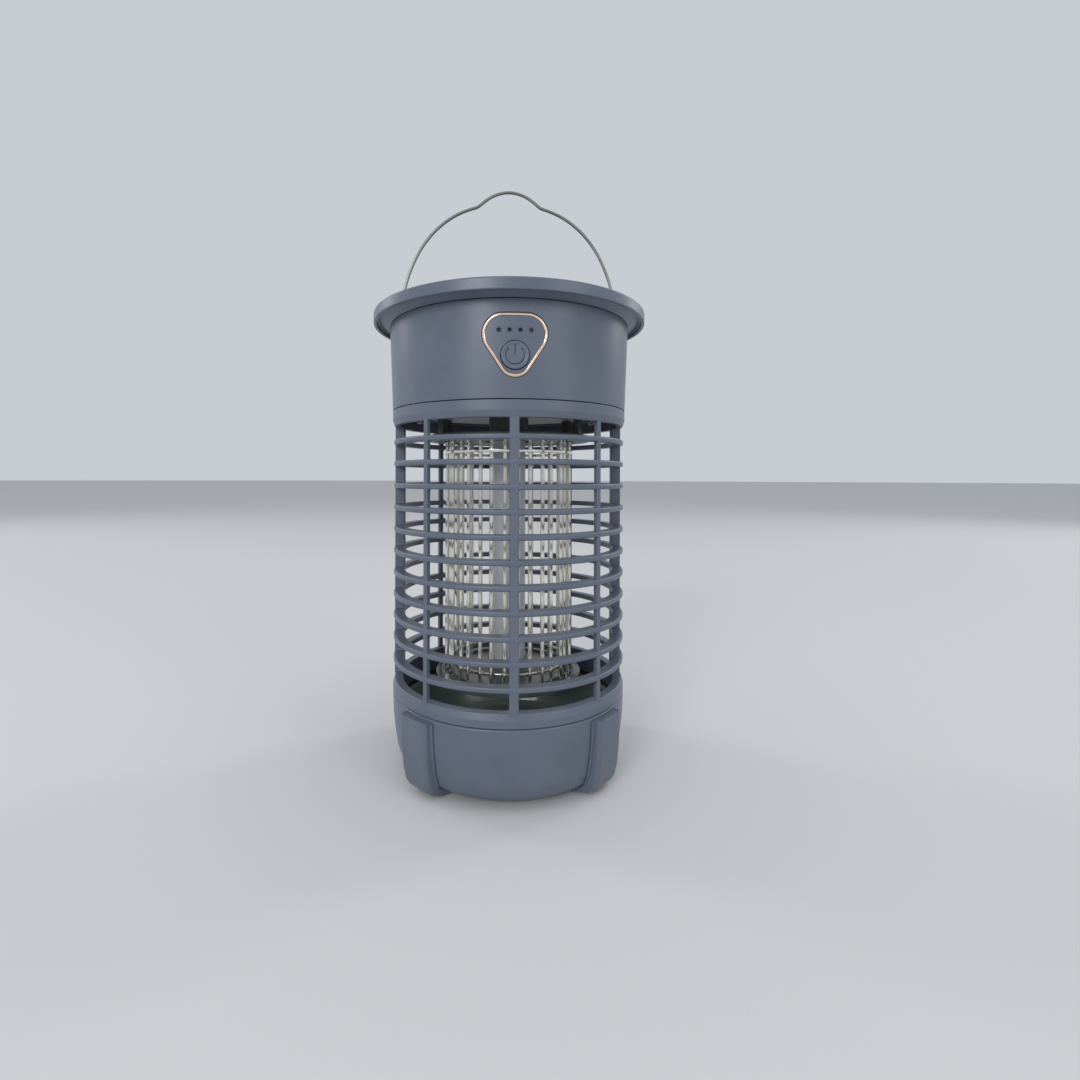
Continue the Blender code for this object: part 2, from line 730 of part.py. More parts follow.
def build_upper_insulator():
    """A plate with a groove for the wires' upper ends, hung on six posts."""
    low, high = 174.6 * MM, 177.4 * MM
    groove_top = GRID_TOP + GAP
    outline = [
        (45 * MM, high),
        (45 * MM, low),
        (36.0 * MM, low),
        (36.0 * MM, groove_top),
        (31.0 * MM, groove_top),
        (31.0 * MM, low),
        (14 * MM, low),
        (14 * MM, high),
    ]
    plate = turned("upper_insulator", [outline], "insulator_plastic")
    for index in range(6):
        size = (3 * MM, 6 * MM, HEAD_UNDERSIDE - high + MM)
        centre = (41 * MM, 0, (HEAD_UNDERSIDE + high - MM) / 2)
        join(plate, block(f"insulator_post_{index}", size, centre, turn=60 * index + 30))
    return plate


def build_lower_insulator():
    """A plate with a groove for the wires' lower ends and a cup for the lamp."""
    low, high = 45.6 * MM, 48.6 * MM
    groove_floor = GRID_BOTTOM - GAP
    cup_radius = LAMP_RADIUS + GAP
    outline = [
        (cup_radius + 1.6 * MM, 55 * MM),
        (cup_radius + 1.6 * MM, high),
        (30.7 * MM, high),
        (30.7 * MM, groove_floor),
        (36.1 * MM, groove_floor),
        (36.1 * MM, high),
        (40 * MM, high),
        (40 * MM, low),
        (cup_radius - 2 * MM, low),
        (cup_radius - 2 * MM, LAMP_BOTTOM - GAP),
        (cup_radius, LAMP_BOTTOM - GAP),
        (cup_radius, 55 * MM),
    ]
    return turned("lower_insulator", [outline], "insulator_plastic")


def build_lamp():
    """A frosted tube round a strip of ultraviolet lights, held by a socket above."""
    inner = LAMP_RADIUS - 1.2 * MM
    outline = [
        (LAMP_RADIUS, LAMP_TOP),
        (LAMP_RADIUS, LAMP_BOTTOM + 1.5 * MM),
        (LAMP_RADIUS - 1.5 * MM, LAMP_BOTTOM),
        (0, LAMP_BOTTOM),
        (0, LAMP_BOTTOM + 1.2 * MM),
        (inner, LAMP_BOTTOM + 1.8 * MM),
        (inner, LAMP_TOP),
    ]
    turned("lamp_tube", [outline], "lamp_plastic", steps=AROUND_SMALL)
    strip_height = LAMP_TOP - LAMP_BOTTOM - 6 * MM
    strip_centre = (0, 0, LAMP_TOP - strip_height / 2)
    block("lamp_strip", (8 * MM, 1.6 * MM, strip_height), strip_centre, "board_laminate")
    socket = [
        (0, HEAD_UNDERSIDE - GAP),
        (SOCKET_RADIUS, HEAD_UNDERSIDE - GAP),
        (SOCKET_RADIUS, LAMP_TOP + 1.5 * MM),
        (SOCKET_RADIUS - 1.2 * MM, LAMP_TOP + GAP),
        (0, LAMP_TOP + GAP),
    ]
    turned("lamp_socket", [socket], "socket_plastic", closed=False, steps=AROUND_SMALL)


def build_reflector():
    low, high = HEAD_UNDERSIDE + GAP, CAGE_TOP
    outline = [(0, high), (50.4 * MM, high), (50.4 * MM, low), (0, low)]
    return turned("reflector_plate", [outline], "reflector_plastic", closed=False)


# ---------------------------------------------------------------- tray and feet


def tray_side(grow):
    """The tray's outer side from its rim down to its flat underside."""
    return [
        (TRAY_RADIUS + grow, TRAY_RIM),
        (62.9 * MM + grow, 30.0 * MM),
        (62.1 * MM + grow, 22.0 * MM),
        (60.6 * MM + grow, 12.5 * MM),
        (58.4 * MM + grow, 6.8 * MM),
        (54.5 * MM + grow / 2, TRAY_UNDERSIDE - grow),
    ]


def build_tray():
    """The cup that catches the insects, with a ledge that carries the seal."""
    outline = [
        *tray_side(0),
        (0, TRAY_UNDERSIDE),
        (0, TRAY_UNDERSIDE + WALL),
        (53.8 * MM, TRAY_UNDERSIDE + WALL),
        (56.6 * MM, 8.2 * MM),
        (58.6 * MM, 13.5 * MM),
        (59.9 * MM, 22.0 * MM),
        (60.2 * MM, 27.0 * MM),
        (58.6 * MM, 29.5 * MM),
        (58.6 * MM, 31.6 * MM),
        (60.9 * MM, 31.6 * MM),
        (61.1 * MM, TRAY_RIM),
    ]
    return turned("insect_tray", [outline], "housing_plastic")


def build_seal():
    """The rubber ring between the cage's skirt and the tray's ledge."""
    low, high = 31.9 * MM, CAGE_BOTTOM - 6 * MM - GAP
    outline = [(60.4 * MM, high), (60.4 * MM, low), (58.9 * MM, low), (58.9 * MM, high)]
    return turned("tray_seal", [outline], "seal_rubber")


def build_foot(name, degrees):
    """A bumper foot: a side outline as wide as the foot, fitted to the tray's wall."""
    outline = [
        (66.6 * MM, FOOT_TOP),
        (66.2 * MM, 23.0 * MM),
        (65.2 * MM, 13.0 * MM),
        (63.6 * MM, 6.4 * MM),
        (61.2 * MM, 2.8 * MM),
        (54.0 * MM, 1.2 * MM),
        (47.0 * MM, 0),
        (41.4 * MM, 0),
        (40.6 * MM, 0.8 * MM),
        (40.6 * MM, 3.0 * MM),
        (50.0 * MM, FOOT_TOP),
    ]
    standing = Matrix.Rotation(math.radians(degrees), 4, "Z") @ Matrix.Rotation(math.pi / 2, 4, "X")
    foot = flat_outline(name, outline, FOOT_WIDTH, standing, "housing_plastic")
    side = tray_side(GAP)
    plug = [(0, FOOT_TOP + 2 * MM), (side[0][0], FOOT_TOP + 2 * MM), *side[1:], (0, side[-1][1])]
    return cut(foot, turned(f"{name}_seat", [plug], closed=False))


# ---------------------------------------------------------------- assembly


def finish_pieces():
    """Round faces shade smooth up to the sharp edges."""
    for obj in PIECES.objects:
        obj.data.shade_smooth()
        obj.data.set_sharp_from_angle(angle=SHARP_ANGLE)


def build():
    build_top_cover()
    build_upper_housing()
    for index, degrees in enumerate(SCREW_ANGLES):
        build_cover_screw(index + 1, degrees)
        build_cage_screw(index + 1, degrees)
    build_badge_bezel()
    build_badge_panel()
    build_power_button()
    build_button_board()
    build_charging_port()
    build_bail()
    build_bail_socket("bail_socket_left", -1)
    build_bail_socket("bail_socket_right", 1)
    build_head_floor()
    build_electronics()
    build_reflector()
    build_lamp()
    build_upper_insulator()
    build_lower_insulator()
    build_grids()
    build_cage()
    build_tray()
    build_seal()
    for place_name, degrees in FOOT_ANGLES.items():
        build_foot(f"foot_{place_name}", degrees)
    finish_pieces()


clear_scene()
PIECES = new_collection("electric_bug_zapper")
CUTTERS = new_collection("cutters")
CUTTERS.hide_render = True
MATERIAL_OF = {name: new_material(name) for name in MATERIALS}
build()
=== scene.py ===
"""Looks of the electric bug zapper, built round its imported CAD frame.

Metres, +Z up, front towards -Y. Every piece lies where its CAD node lies.
"""

import json
import math

import bmesh
import bpy
from mathutils import Matrix, Vector


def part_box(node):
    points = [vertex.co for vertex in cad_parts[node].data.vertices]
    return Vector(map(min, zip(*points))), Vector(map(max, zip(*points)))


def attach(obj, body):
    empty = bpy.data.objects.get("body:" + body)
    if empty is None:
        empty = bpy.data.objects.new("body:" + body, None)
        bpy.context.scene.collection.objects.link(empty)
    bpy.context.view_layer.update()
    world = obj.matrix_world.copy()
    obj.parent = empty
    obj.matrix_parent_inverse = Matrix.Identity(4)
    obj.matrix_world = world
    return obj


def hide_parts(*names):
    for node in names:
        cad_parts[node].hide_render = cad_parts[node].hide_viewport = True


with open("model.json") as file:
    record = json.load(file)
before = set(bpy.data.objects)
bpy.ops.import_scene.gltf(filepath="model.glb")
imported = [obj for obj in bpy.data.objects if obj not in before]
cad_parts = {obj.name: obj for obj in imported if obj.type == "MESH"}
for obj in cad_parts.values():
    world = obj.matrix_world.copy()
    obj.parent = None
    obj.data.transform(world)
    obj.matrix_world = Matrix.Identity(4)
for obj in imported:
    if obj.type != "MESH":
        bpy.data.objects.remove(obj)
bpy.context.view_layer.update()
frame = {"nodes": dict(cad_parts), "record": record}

MM = 0.001
GAP = 0.3 * MM
AROUND = 192  # facets round a shell
AROUND_FINE = 512  # facets round a small piece cut from a shell
WALL = 2.2 * MM

# Levels and radii that the CAD frame gives
BRIM_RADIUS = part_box("top_cover")[1].x
BRIM_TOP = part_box("top_cover")[1].z
HOUSING_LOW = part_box("upper_housing")[0].z
HOUSING_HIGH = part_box("upper_housing")[1].z
HOUSING_TOP_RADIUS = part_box("upper_housing")[1].x
CAGE_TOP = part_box("cage")[1].z
TRAY_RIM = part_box("insect_tray")[1].z
TRAY_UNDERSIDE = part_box("insect_tray")[0].z
TRAY_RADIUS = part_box("insect_tray")[1].x
FOOT_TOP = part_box("foot_front_left")[1].z
GRID_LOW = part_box("live_grid")[0].z
GRID_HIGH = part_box("live_grid")[1].z
LAMP_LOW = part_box("lamp_tube")[0].z
LAMP_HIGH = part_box("lamp_tube")[1].z
LAMP_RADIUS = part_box("lamp_tube")[1].x
SOCKET_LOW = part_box("lamp_socket")[0].z
SOCKET_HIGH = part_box("lamp_socket")[1].z
SOCKET_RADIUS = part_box("lamp_socket")[1].x
REFLECTOR_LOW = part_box("reflector_plate")[0].z
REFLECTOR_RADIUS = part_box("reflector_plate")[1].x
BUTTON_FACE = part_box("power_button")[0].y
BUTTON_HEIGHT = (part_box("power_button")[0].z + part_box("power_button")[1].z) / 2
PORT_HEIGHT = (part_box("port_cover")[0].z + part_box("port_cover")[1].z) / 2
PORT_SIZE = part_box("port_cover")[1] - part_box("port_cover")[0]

# Other sizes, from the frame or for the finish alone
BRIM_UNDERSIDE = 236.6 * MM
DISH_FLOOR = 239.8 * MM
SPIGOT_LOW = 232.9 * MM
HOUSING_LOW_RADIUS = 63.7 * MM
LOWER_BAND_TOP = 47.3 * MM
UPPER_BAND_LOW = 182.2 * MM
RING_COUNT = 11
RING_PITCH = 11.57 * MM
LOWEST_RING = 57.8 * MM
RING_HEIGHT = 2.7 * MM
RING_RADIUS = 63.0 * MM
RING_INNER = 57.5 * MM
RIB_RADIUS = 62.8 * MM
RIBS = {  # angle in degrees: width, depth
    **{angle: (4.4 * MM, 5.3 * MM) for angle in (0, 90, 180, 270)},
    **{angle: (2.6 * MM, 2.6 * MM) for angle in (48, 132, 228, 312)},
}
RIB_FILLET = 1.1 * MM
SCREW_CIRCLE = 55.5 * MM
SCREW_ANGLES = (22, 158, 202, 338)
SCREW_HOLE = 1.7 * MM
BADGE_BAND = (196 * MM, 232 * MM)  # the heights that the badge lies between
BADGE_CORNER = 9.4 * MM
BADGE_CORNER_X = 5.55 * MM
BADGE_CORNER_Z = 219.5 * MM
BADGE_TIP = 7.6 * MM
BADGE_TIP_Z = 207.7 * MM
BADGE_STEPS = 16  # in each of the badge's arcs
BEZEL_WIDTH = 1.3 * MM
PANEL_SUNK = 0.2 * MM  # behind the wall's face
BUTTON_RADIUS = 6.4 * MM
LED_HEIGHT = 221.3 * MM
LED_PITCH = 4.93 * MM
LED_HOLE = 0.9 * MM
CUT_FRONT, CUT_BACK = -70 * MM, -55 * MM  # the ends of a hole through the badge, along Y
PIVOT_HEIGHT = 243.55 * MM
BAIL_WIRE = 0.85 * MM
BAIL_SIDES = 16
BAIL_STEPS = 6  # between two points of its route
GRID_RADIUS = 33.5 * MM
GRID_STAGGER = 0.6 * MM
WIRES_PER_GRID = 16
GRID_WIRE = 1.05 * MM
TRAY_SEAT = 61.2 * MM  # just outside the seat of the tray's rubber ring
FOOT_WIDTH = 19.0 * MM
FOOT_INNER = 40.6 * MM
FOOT_ANGLES = {
    "front_left": 223.5,
    "front_right": 316.5,
    "rear_right": 43.5,
    "rear_left": 136.5,
}

FLOOR_RADIUS = 30  # metres, so that its edge looks like a horizon
AIM_HEIGHT = 0.15  # of the lights
PATCHES = 45  # colour patches per metre
NOISE_MIDDLE = (0.35, 0.65)  # the part of the noise that is spread over a range
MOST_OF_A_SIDE = 0.48  # the share of a side that one rounded corner may take
HALF_STRAIGHT = math.radians(88)  # half the angle at a corner that counts as straight


# ---------------------------------------------------------------- camera, floor, light


def build_camera():
    """Level, a little left of the front, aimed at the axis."""
    data = bpy.data.cameras.new("camera")
    camera = bpy.data.objects.new("camera", data)
    bpy.context.scene.collection.objects.link(camera)
    data.lens = 19.3
    data.sensor_width = 36
    data.shift_x = 0.0291
    data.shift_y = -0.0575
    data.clip_start = 0.01
    camera.location = (-0.0142, -0.3247, 0.1545)
    aim = Vector((0, 0, camera.location.z)) - camera.location
    camera.rotation_mode = "QUATERNION"
    roll = Matrix.Rotation(0.0027, 3, "Z").to_quaternion()
    camera.rotation_quaternion = aim.to_track_quat("-Z", "Y") @ roll
    bpy.context.scene.camera = camera


def build_floor():
    bm = bmesh.new()
    bmesh.ops.create_circle(bm, cap_ends=True, segments=128, radius=FLOOR_RADIUS)
    floor = link("floor", mesh_of("floor", bm))
    floor.data.materials.append(plain_material("floor", (0.60, 0.60, 0.60), 0.9))


def softbox(name, place, size, watts):
    data = bpy.data.lights.new(name, "AREA")
    data.shape = "RECTANGLE"
    data.size, data.size_y = size
    data.energy = watts
    light = bpy.data.objects.new(name, data)
    bpy.context.scene.collection.objects.link(light)
    light.location = place
    aim = Vector((0, 0, AIM_HEIGHT)) - light.location
    light.rotation_mode = "QUATERNION"
    light.rotation_quaternion = aim.to_track_quat("-Z", "Y")


def build_light():
    world = bpy.data.worlds.new("studio")
    world.use_nodes = True
    background = world.node_tree.nodes["Background"]
    background.inputs["Color"].default_value = (0.80, 0.84, 0.90, 1)
    background.inputs["Strength"].default_value = 0.72
    bpy.context.scene.world = world
    softbox("key", (-1.0, -1.9, 1.1), (0.8, 0.8), 20)
    softbox("fill", (1.5, -1.6, 1.0), (0.9, 0.9), 6)
    softbox("rim_left", (-1.9, 1.0, 1.3), (0.5, 1.2), 8)
    softbox("rim_right", (1.9, 1.0, 1.3), (0.5, 1.2), 8)
    softbox("overhead", (0.2, -0.3, 2.2), (1.2, 1.2), 6)
    bpy.context.scene.view_settings.view_transform = "Standard"


# ---------------------------------------------------------------- materials


def plain_material(name, color, roughness, metallic=0.0):
    material = bpy.data.materials.new(name)
    material.use_nodes = True
    shader = material.node_tree.nodes["Principled BSDF"]
    shader.inputs["Base Color"].default_value = (*color, 1)
    shader.inputs["Roughness"].default_value = roughness
    shader.inputs["Metallic"].default_value = metallic
    return material


def noise(material, scale, detail, stretch=(1, 1, 1)):
    """Noise in the object's own coordinates, so that its scale is per metre."""
    nodes, links = material.node_tree.nodes, material.node_tree.links
    place = nodes.new("ShaderNodeTexCoord")
    mapping = nodes.new("ShaderNodeMapping")
    mapping.inputs["Scale"].default_value = stretch
    texture = nodes.new("ShaderNodeTexNoise")
    texture.inputs["Scale"].default_value = scale
    texture.inputs["Detail"].default_value = detail
    links.new(place.outputs["Object"], mapping.inputs["Vector"])
    links.new(mapping.outputs["Vector"], texture.inputs["Vector"])
    return texture.outputs["Fac"]


def ramp(material, factor, low, high):
    """A value that runs from low to high over the middle part of the noise."""
    node = material.node_tree.nodes.new("ShaderNodeMapRange")
    node.inputs["From Min"].default_value = NOISE_MIDDLE[0]
    node.inputs["From Max"].default_value = NOISE_MIDDLE[1]
    node.inputs["To Min"].default_value = low
    node.inputs["To Max"].default_value = high
    material.node_tree.links.new(factor, node.inputs["Value"])
    return node.outputs["Result"]


def blend_colors(material, factor, low, high):
    node = material.node_tree.nodes.new("ShaderNodeMix")
    node.data_type = "RGBA"
    node.inputs["A"].default_value = (*low, 1)
    node.inputs["B"].default_value = (*high, 1)
    material.node_tree.links.new(factor, node.inputs["Factor"])
    return node.outputs["Result"]


def bump(material, height, strength, distance, below=None):
    node = material.node_tree.nodes.new("ShaderNodeBump")
    node.inputs["Strength"].default_value = strength
    node.inputs["Distance"].default_value = distance
    material.node_tree.links.new(height, node.inputs["Height"])
    if below:
        material.node_tree.links.new(below, node.inputs["Normal"])
    return node.outputs["Normal"]


def surface(name, low, high, roughness, grain, relief, metallic=0.0, stretch=(1, 1, 1)):
    """A material with patchy colour, uneven gloss and a grain.

    roughness is its lowest and highest value, grain is per metre, and relief is in metres.
    """
    material = plain_material(name, low, roughness[0], metallic)
    shader = material.node_tree.nodes["Principled BSDF"]
    links = material.node_tree.links
    patches = noise(material, PATCHES, 4)
    fine = noise(material, grain, 3, stretch)
    color = blend_colors(material, ramp(material, patches, 0, 1), low, high)
    links.new(color, shader.inputs["Base Color"])
    links.new(ramp(material, fine, *roughness), shader.inputs["Roughness"])
    waves = bump(material, patches, 0.15, relief * 2)
    links.new(bump(material, fine, 0.5, relief, waves), shader.inputs["Normal"])
    return material


def build_materials():
    return {
        "housing_plastic": surface(
            "slate_plastic",
            (0.100, 0.120, 0.162),
            (0.113, 0.134, 0.178),
            (0.32, 0.42),
            2600,
            1.5e-5,
        ),
        "button_plastic": surface(
            "key_plastic", (0.108, 0.130, 0.176), (0.120, 0.143, 0.190), (0.28, 0.36), 3200, 1e-5
        ),
        "bezel_metal": surface(
            "rose_gold", (0.86, 0.63, 0.49), (0.93, 0.72, 0.58), (0.14, 0.26), 1800, 1e-5, 1.0
        ),
        "led_lens": surface(
            "smoked_lens", (0.020, 0.030, 0.042), (0.028, 0.038, 0.050), (0.16, 0.26), 900, 3e-6
        ),
        "bail_steel": surface(
            "drawn_steel", (0.23, 0.227, 0.21), (0.26, 0.256, 0.238), (0.32, 0.40), 900, 2e-7, 1.0
        ),
        "grid_steel": surface(
            "polished_steel",
            (0.78, 0.76, 0.68),
            (0.88, 0.87, 0.80),
            (0.12, 0.22),
            1600,
            2e-6,
            1.0,
            (1, 1, 0.12),
        ),
        # the tray's hollow: its slate plastic painted much paler, as painted light falling into
        # the hollow, and glossier
        "tray_hollow_painted_light": surface(
            "hollow_plastic_painted_light", (0.30, 0.35, 0.335), (0.34, 0.39, 0.37), (0.10, 0.18), 2000, 4e-6
        ),
        "insulator_plastic": surface(
            "insulator", (0.045, 0.056, 0.056), (0.060, 0.070, 0.068), (0.30, 0.45), 2200, 1.5e-5
        ),
        # a paler copy of the insulator plastic for the lower plate: painted light on the cage's
        # floor
        "insulator_painted_light": surface(
            "insulator_painted_light", (0.11, 0.135, 0.128), (0.14, 0.165, 0.155), (0.10, 0.18), 2200, 4e-6
        ),
        "reflector_plastic": surface(
            "white_reflector", (0.90, 0.90, 0.88), (0.94, 0.94, 0.92), (0.25, 0.35), 1500, 3e-6
        ),
        "lamp_plastic": surface(
            "frosted_tube", (0.52, 0.53, 0.57), (0.60, 0.61, 0.65), (0.28, 0.40), 1800, 1e-5
        ),
        "socket_plastic": surface(
            "socket_grey", (0.15, 0.152, 0.145), (0.18, 0.182, 0.172), (0.42, 0.56), 2400, 2e-5
        ),
        "board_laminate": surface(
            "solder_mask", (0.012, 0.10, 0.045), (0.02, 0.14, 0.06), (0.25, 0.4), 1200, 1e-5
        ),
        "battery_sleeve": surface(
            "shrink_sleeve", (0.03, 0.13, 0.34), (0.05, 0.17, 0.40), (0.2, 0.32), 900, 1e-5
        ),
        "component_plastic": surface(
            "potting", (0.36, 0.26, 0.05), (0.45, 0.33, 0.07), (0.3, 0.45), 1200, 2e-5
        ),
        "screw_steel": surface(
            "zinc_plate", (0.46, 0.46, 0.45), (0.58, 0.58, 0.56), (0.22, 0.38), 1500, 1e-5, 1.0
        ),
        "seal_rubber": surface(
            "black_rubber", (0.016, 0.016, 0.018), (0.026, 0.026, 0.028), (0.66, 0.84), 2800, 3e-5
        ),
        "port_metal": surface(
            "plated_shell", (0.56, 0.56, 0.58), (0.66, 0.66, 0.68), (0.18, 0.3), 1500, 8e-6, 1.0
        ),
    }


# ---------------------------------------------------------------- shape helpers


def link(name, data):
    obj = bpy.data.objects.new(name, data)
    bpy.context.scene.collection.objects.link(obj)
    return obj


def mesh_of(name, bm):
    mesh = bpy.data.meshes.new(name)
    bmesh.ops.recalc_face_normals(bm, faces=bm.faces)
    bm.to_mesh(mesh)
    bm.free()
    return mesh


def rounded(corners, segments):
    """Outline points of (x, y, radius) corners, each rounded off by its radius."""
    points = []
    for index, (x, y, radius) in enumerate(corners):
        here = Vector((x, y))
        before = Vector(corners[index - 1][:2]) - here
        after = Vector(corners[(index + 1) % len(corners)][:2]) - here
        if radius <= 0 or before.length == 0 or after.length == 0:
            points.append((x, y))
            continue
        half = before.angle(after) / 2
        longest = MOST_OF_A_SIDE * min(before.length, after.length)
        reach = min(radius / math.tan(half), longest)
        if half > HALF_STRAIGHT:
            points.append((x, y))
            continue
        start = here + before.normalized() * reach
        end = here + after.normalized() * reach
        centre = here + (before.normalized() + after.normalized()).normalized() * (
            reach / math.cos(half)
        )
        sweep = (start - centre).angle_signed(end - centre)
        for step in range(segments + 1):
            arm = (start - centre).copy()
            arm.rotate(Matrix.Rotation(-sweep * step / segments, 2))
            points.append(tuple(centre + arm))
    return points


def revolve(bm, outline, steps, start=0.0, end=360.0):
    """Turn a closed outline of (radius, height) about Z, all round or as a closed sector."""
    whole = end - start >= 360
    count = steps if whole else steps + 1
    loops = []
    for step in range(count):
        angle = math.radians(start + (end - start) * step / steps)
        cos, sin = math.cos(angle), math.sin(angle)
        loops.append([(r * cos, r * sin, z) for r, z in outline])
    axis = {}
    rows = []
    for loop in loops:
        row = []
        for index, point in enumerate(loop):
            if outline[index][0] < 1e-7:
                if index not in axis:
                    axis[index] = bm.verts.new(point)
                row.append(axis[index])
            else:
                row.append(bm.verts.new(point))
        rows.append(row)
    size = len(outline)
    for step in range(steps):
        one, two = rows[step], rows[(step + 1) % count]
        for index in range(size):
            after = (index + 1) % size
            corners = dict.fromkeys((one[index], two[index], two[after], one[after]))
            if len(corners) > 2:
                bm.faces.new(corners)
    if not whole:
        bm.faces.new(rows[0])
        bm.faces.new(rows[-1])


def lathe(name, *outlines, steps=AROUND):
    bm = bmesh.new()
    for outline in outlines:
        revolve(bm, outline, steps)
    return link(name, mesh_of(name, bm))


def along(start, end):
    """The matrix that puts +Z on the way from start to end, with the origin at start."""
    start, end = Vector(start), Vector(end)
    turn = (end - start).to_track_quat("Z", "Y").to_matrix().to_4x4()
    return Matrix.Translation(start) @ turn


def add_turned(bm, outline, matrix, steps):
    """Add an outline of (radius, height) turned about the matrix's own Z."""
    part = bmesh.new()
    revolve(part, outline, steps)
    bmesh.ops.transform(part, matrix=matrix, verts=part.verts)
    bmesh.ops.recalc_face_normals(part, faces=part.faces)
    mesh = bpy.data.meshes.new("part")
    part.to_mesh(mesh)
    part.free()
    bm.from_mesh(mesh)
    bpy.data.meshes.remove(mesh)


def rod_outline(radius, length, edge):
    corners = [(0, length, 0), (radius, length, edge), (radius, 0, edge), (0, 0, 0)]
    return rounded(corners, 3)


def add_rod(bm, radius, start, end, steps=24, edge=0.0):
    length = (Vector(end) - Vector(start)).length
    add_turned(bm, rod_outline(radius, length, edge), along(start, end), steps)


def add_prism(bm, outline, thickness, matrix):
    """Add an outline in its own XY plane, extruded to both sides."""
    low = [bm.verts.new(matrix @ Vector((x, y, -thickness / 2))) for x, y in outline]
    high = [bm.verts.new(matrix @ Vector((x, y, thickness / 2))) for x, y in outline]
    bm.faces.new(reversed(low))
    bm.faces.new(high)
    for index in range(len(outline)):
        after = (index + 1) % len(outline)
        bm.faces.new((low[index], low[after], high[after], high[index]))


def add_block(bm, size, centre, turn=0.0):
    spin = Matrix.Rotation(math.radians(turn), 4, "Z")
    matrix = spin @ Matrix.Translation(centre) @ Matrix.Diagonal((*size, 1))
    bmesh.ops.create_cube(bm, size=1, matrix=matrix)


def tool(name, *builders):
    """A helper object made by functions that each add to one bmesh."""
    bm = bmesh.new()
    for builder in builders:
        builder(bm)
    return link(name, mesh_of(name, bm))


def apply_modifiers(obj):
    graph = bpy.context.evaluated_depsgraph_get()
    mesh = bpy.data.meshes.new_from_object(obj.evaluated_get(graph))
    obj.modifiers.clear()
    obj.data = mesh
    return obj


def combine(obj, operation, *others):
    for other in others:
        boolean = obj.modifiers.new(operation, "BOOLEAN")
        boolean.operation = operation
        boolean.solver = "MANIFOLD"
        boolean.object = other
        apply_modifiers(obj)
        bpy.data.objects.remove(other)
    return obj


def soften(obj, width, segments=3, angle=35):
    edge = obj.modifiers.new("edge", "BEVEL")
    edge.width = width
    edge.segments = segments
    edge.limit_method = "ANGLE"
    edge.angle_limit = math.radians(angle)
    edge.use_clamp_overlap = True
    return apply_modifiers(obj)


def dress(obj, slot, body, *nodes, sharp=40, look=None):
    """Finish a piece: shading, material, the body it rides on and what it stands for."""
    obj.data.materials.clear()
    obj.data.materials.append(MATERIALS[look or slot])
    obj.data.shade_smooth()
    obj.data.set_sharp_from_angle(angle=math.radians(sharp))
    normals = obj.modifiers.new("normals", "WEIGHTED_NORMAL")
    normals.keep_sharp = True
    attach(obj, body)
    if nodes:
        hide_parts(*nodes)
    return obj


def around(radius, degrees, height):
    angle = math.radians(degrees)
    return Vector((radius * math.cos(angle), radius * math.sin(angle), height))


def wall_radius(height):
    share = (height - HOUSING_LOW) / (HOUSING_HIGH - HOUSING_LOW)
    return HOUSING_LOW_RADIUS + share * (HOUSING_TOP_RADIUS - HOUSING_LOW_RADIUS)


# ---------------------------------------------------------------- head


def build_lid():
    corners = [
        (0, DISH_FLOOR, 0),
        (67.5 * MM, DISH_FLOOR, 0.9 * MM),
        (69.2 * MM, BRIM_TOP, 0.7 * MM),
        (BRIM_RADIUS, BRIM_TOP, 1.1 * MM),
        (BRIM_RADIUS, BRIM_UNDERSIDE, 0.5 * MM),
        (72.3 * MM, BRIM_UNDERSIDE, 0.5 * MM),
        (72.3 * MM, BRIM_UNDERSIDE + WALL, 0.5 * MM),
        (71.0 * MM, BRIM_UNDERSIDE + WALL, 0.6 * MM),
        (HOUSING_TOP_RADIUS, HOUSING_HIGH + GAP, 0.25 * MM),
        (62.8 * MM, HOUSING_HIGH + GAP, 0.1 * MM),
        (62.8 * MM, SPIGOT_LOW, 0.3 * MM),
        (60.9 * MM, SPIGOT_LOW, 0.3 * MM),
        (60.9 * MM, DISH_FLOOR - WALL, 0.5 * MM),
        (0, DISH_FLOOR - WALL, 0),
    ]
    lid = lathe("lid", rounded(corners, 5), steps=256)
    holes = bmesh.new()
    for degrees in SCREW_ANGLES:
        low = around(SCREW_CIRCLE, degrees, DISH_FLOOR - 2 * WALL)
        add_rod(holes, SCREW_HOLE, low, around(SCREW_CIRCLE, degrees, BRIM_TOP))
    combine(lid, "DIFFERENCE", link("lid_holes", mesh_of("lid_holes", holes)))
    dress(lid, "housing_plastic", "lantern", "top_cover")


def badge_outline(grow):
    """Points of the rounded triangle, anticlockwise as seen from the front."""
    dx, dz = BADGE_CORNER_X, BADGE_CORNER_Z - BADGE_TIP_Z
    side = math.atan2(dz, dx) - math.pi / 2
    side -= math.asin((BADGE_CORNER - BADGE_TIP) / math.hypot(dx, dz))
    corner, tip = BADGE_CORNER + grow, BADGE_TIP + grow
    arcs = [
        (BADGE_CORNER_X, BADGE_CORNER_Z, corner, side, math.pi / 2),
        (-BADGE_CORNER_X, BADGE_CORNER_Z, corner, math.pi / 2, math.pi - side),
        (0, BADGE_TIP_Z, tip, math.pi - side, 2 * math.pi + side),
    ]
    points = []
    for x, z, radius, start, end in arcs:
        for step in range(BADGE_STEPS + 1):
            angle = start + (end - start) * step / BADGE_STEPS
            points.append(Vector((x + radius * math.cos(angle), z + radius * math.sin(angle))))
    return points


def even(points, spacing):
    """Add points to a closed outline so that none are further apart than the spacing."""
    filled = []
    for one, two in zip(points, points[1:] + points[:1]):
        parts = max(1, math.ceil((two - one).length / spacing))
        filled += [one.lerp(two, part / parts) for part in range(parts)]
    return filled


def badge_prism(name, grow):
    facing = Matrix.Translation((0, -62 * MM, 0)) @ Matrix.Rotation(math.pi / 2, 4, "X")
    outline = badge_outline(grow)
    return tool(name, lambda bm: add_prism(bm, outline, 16 * MM, facing))


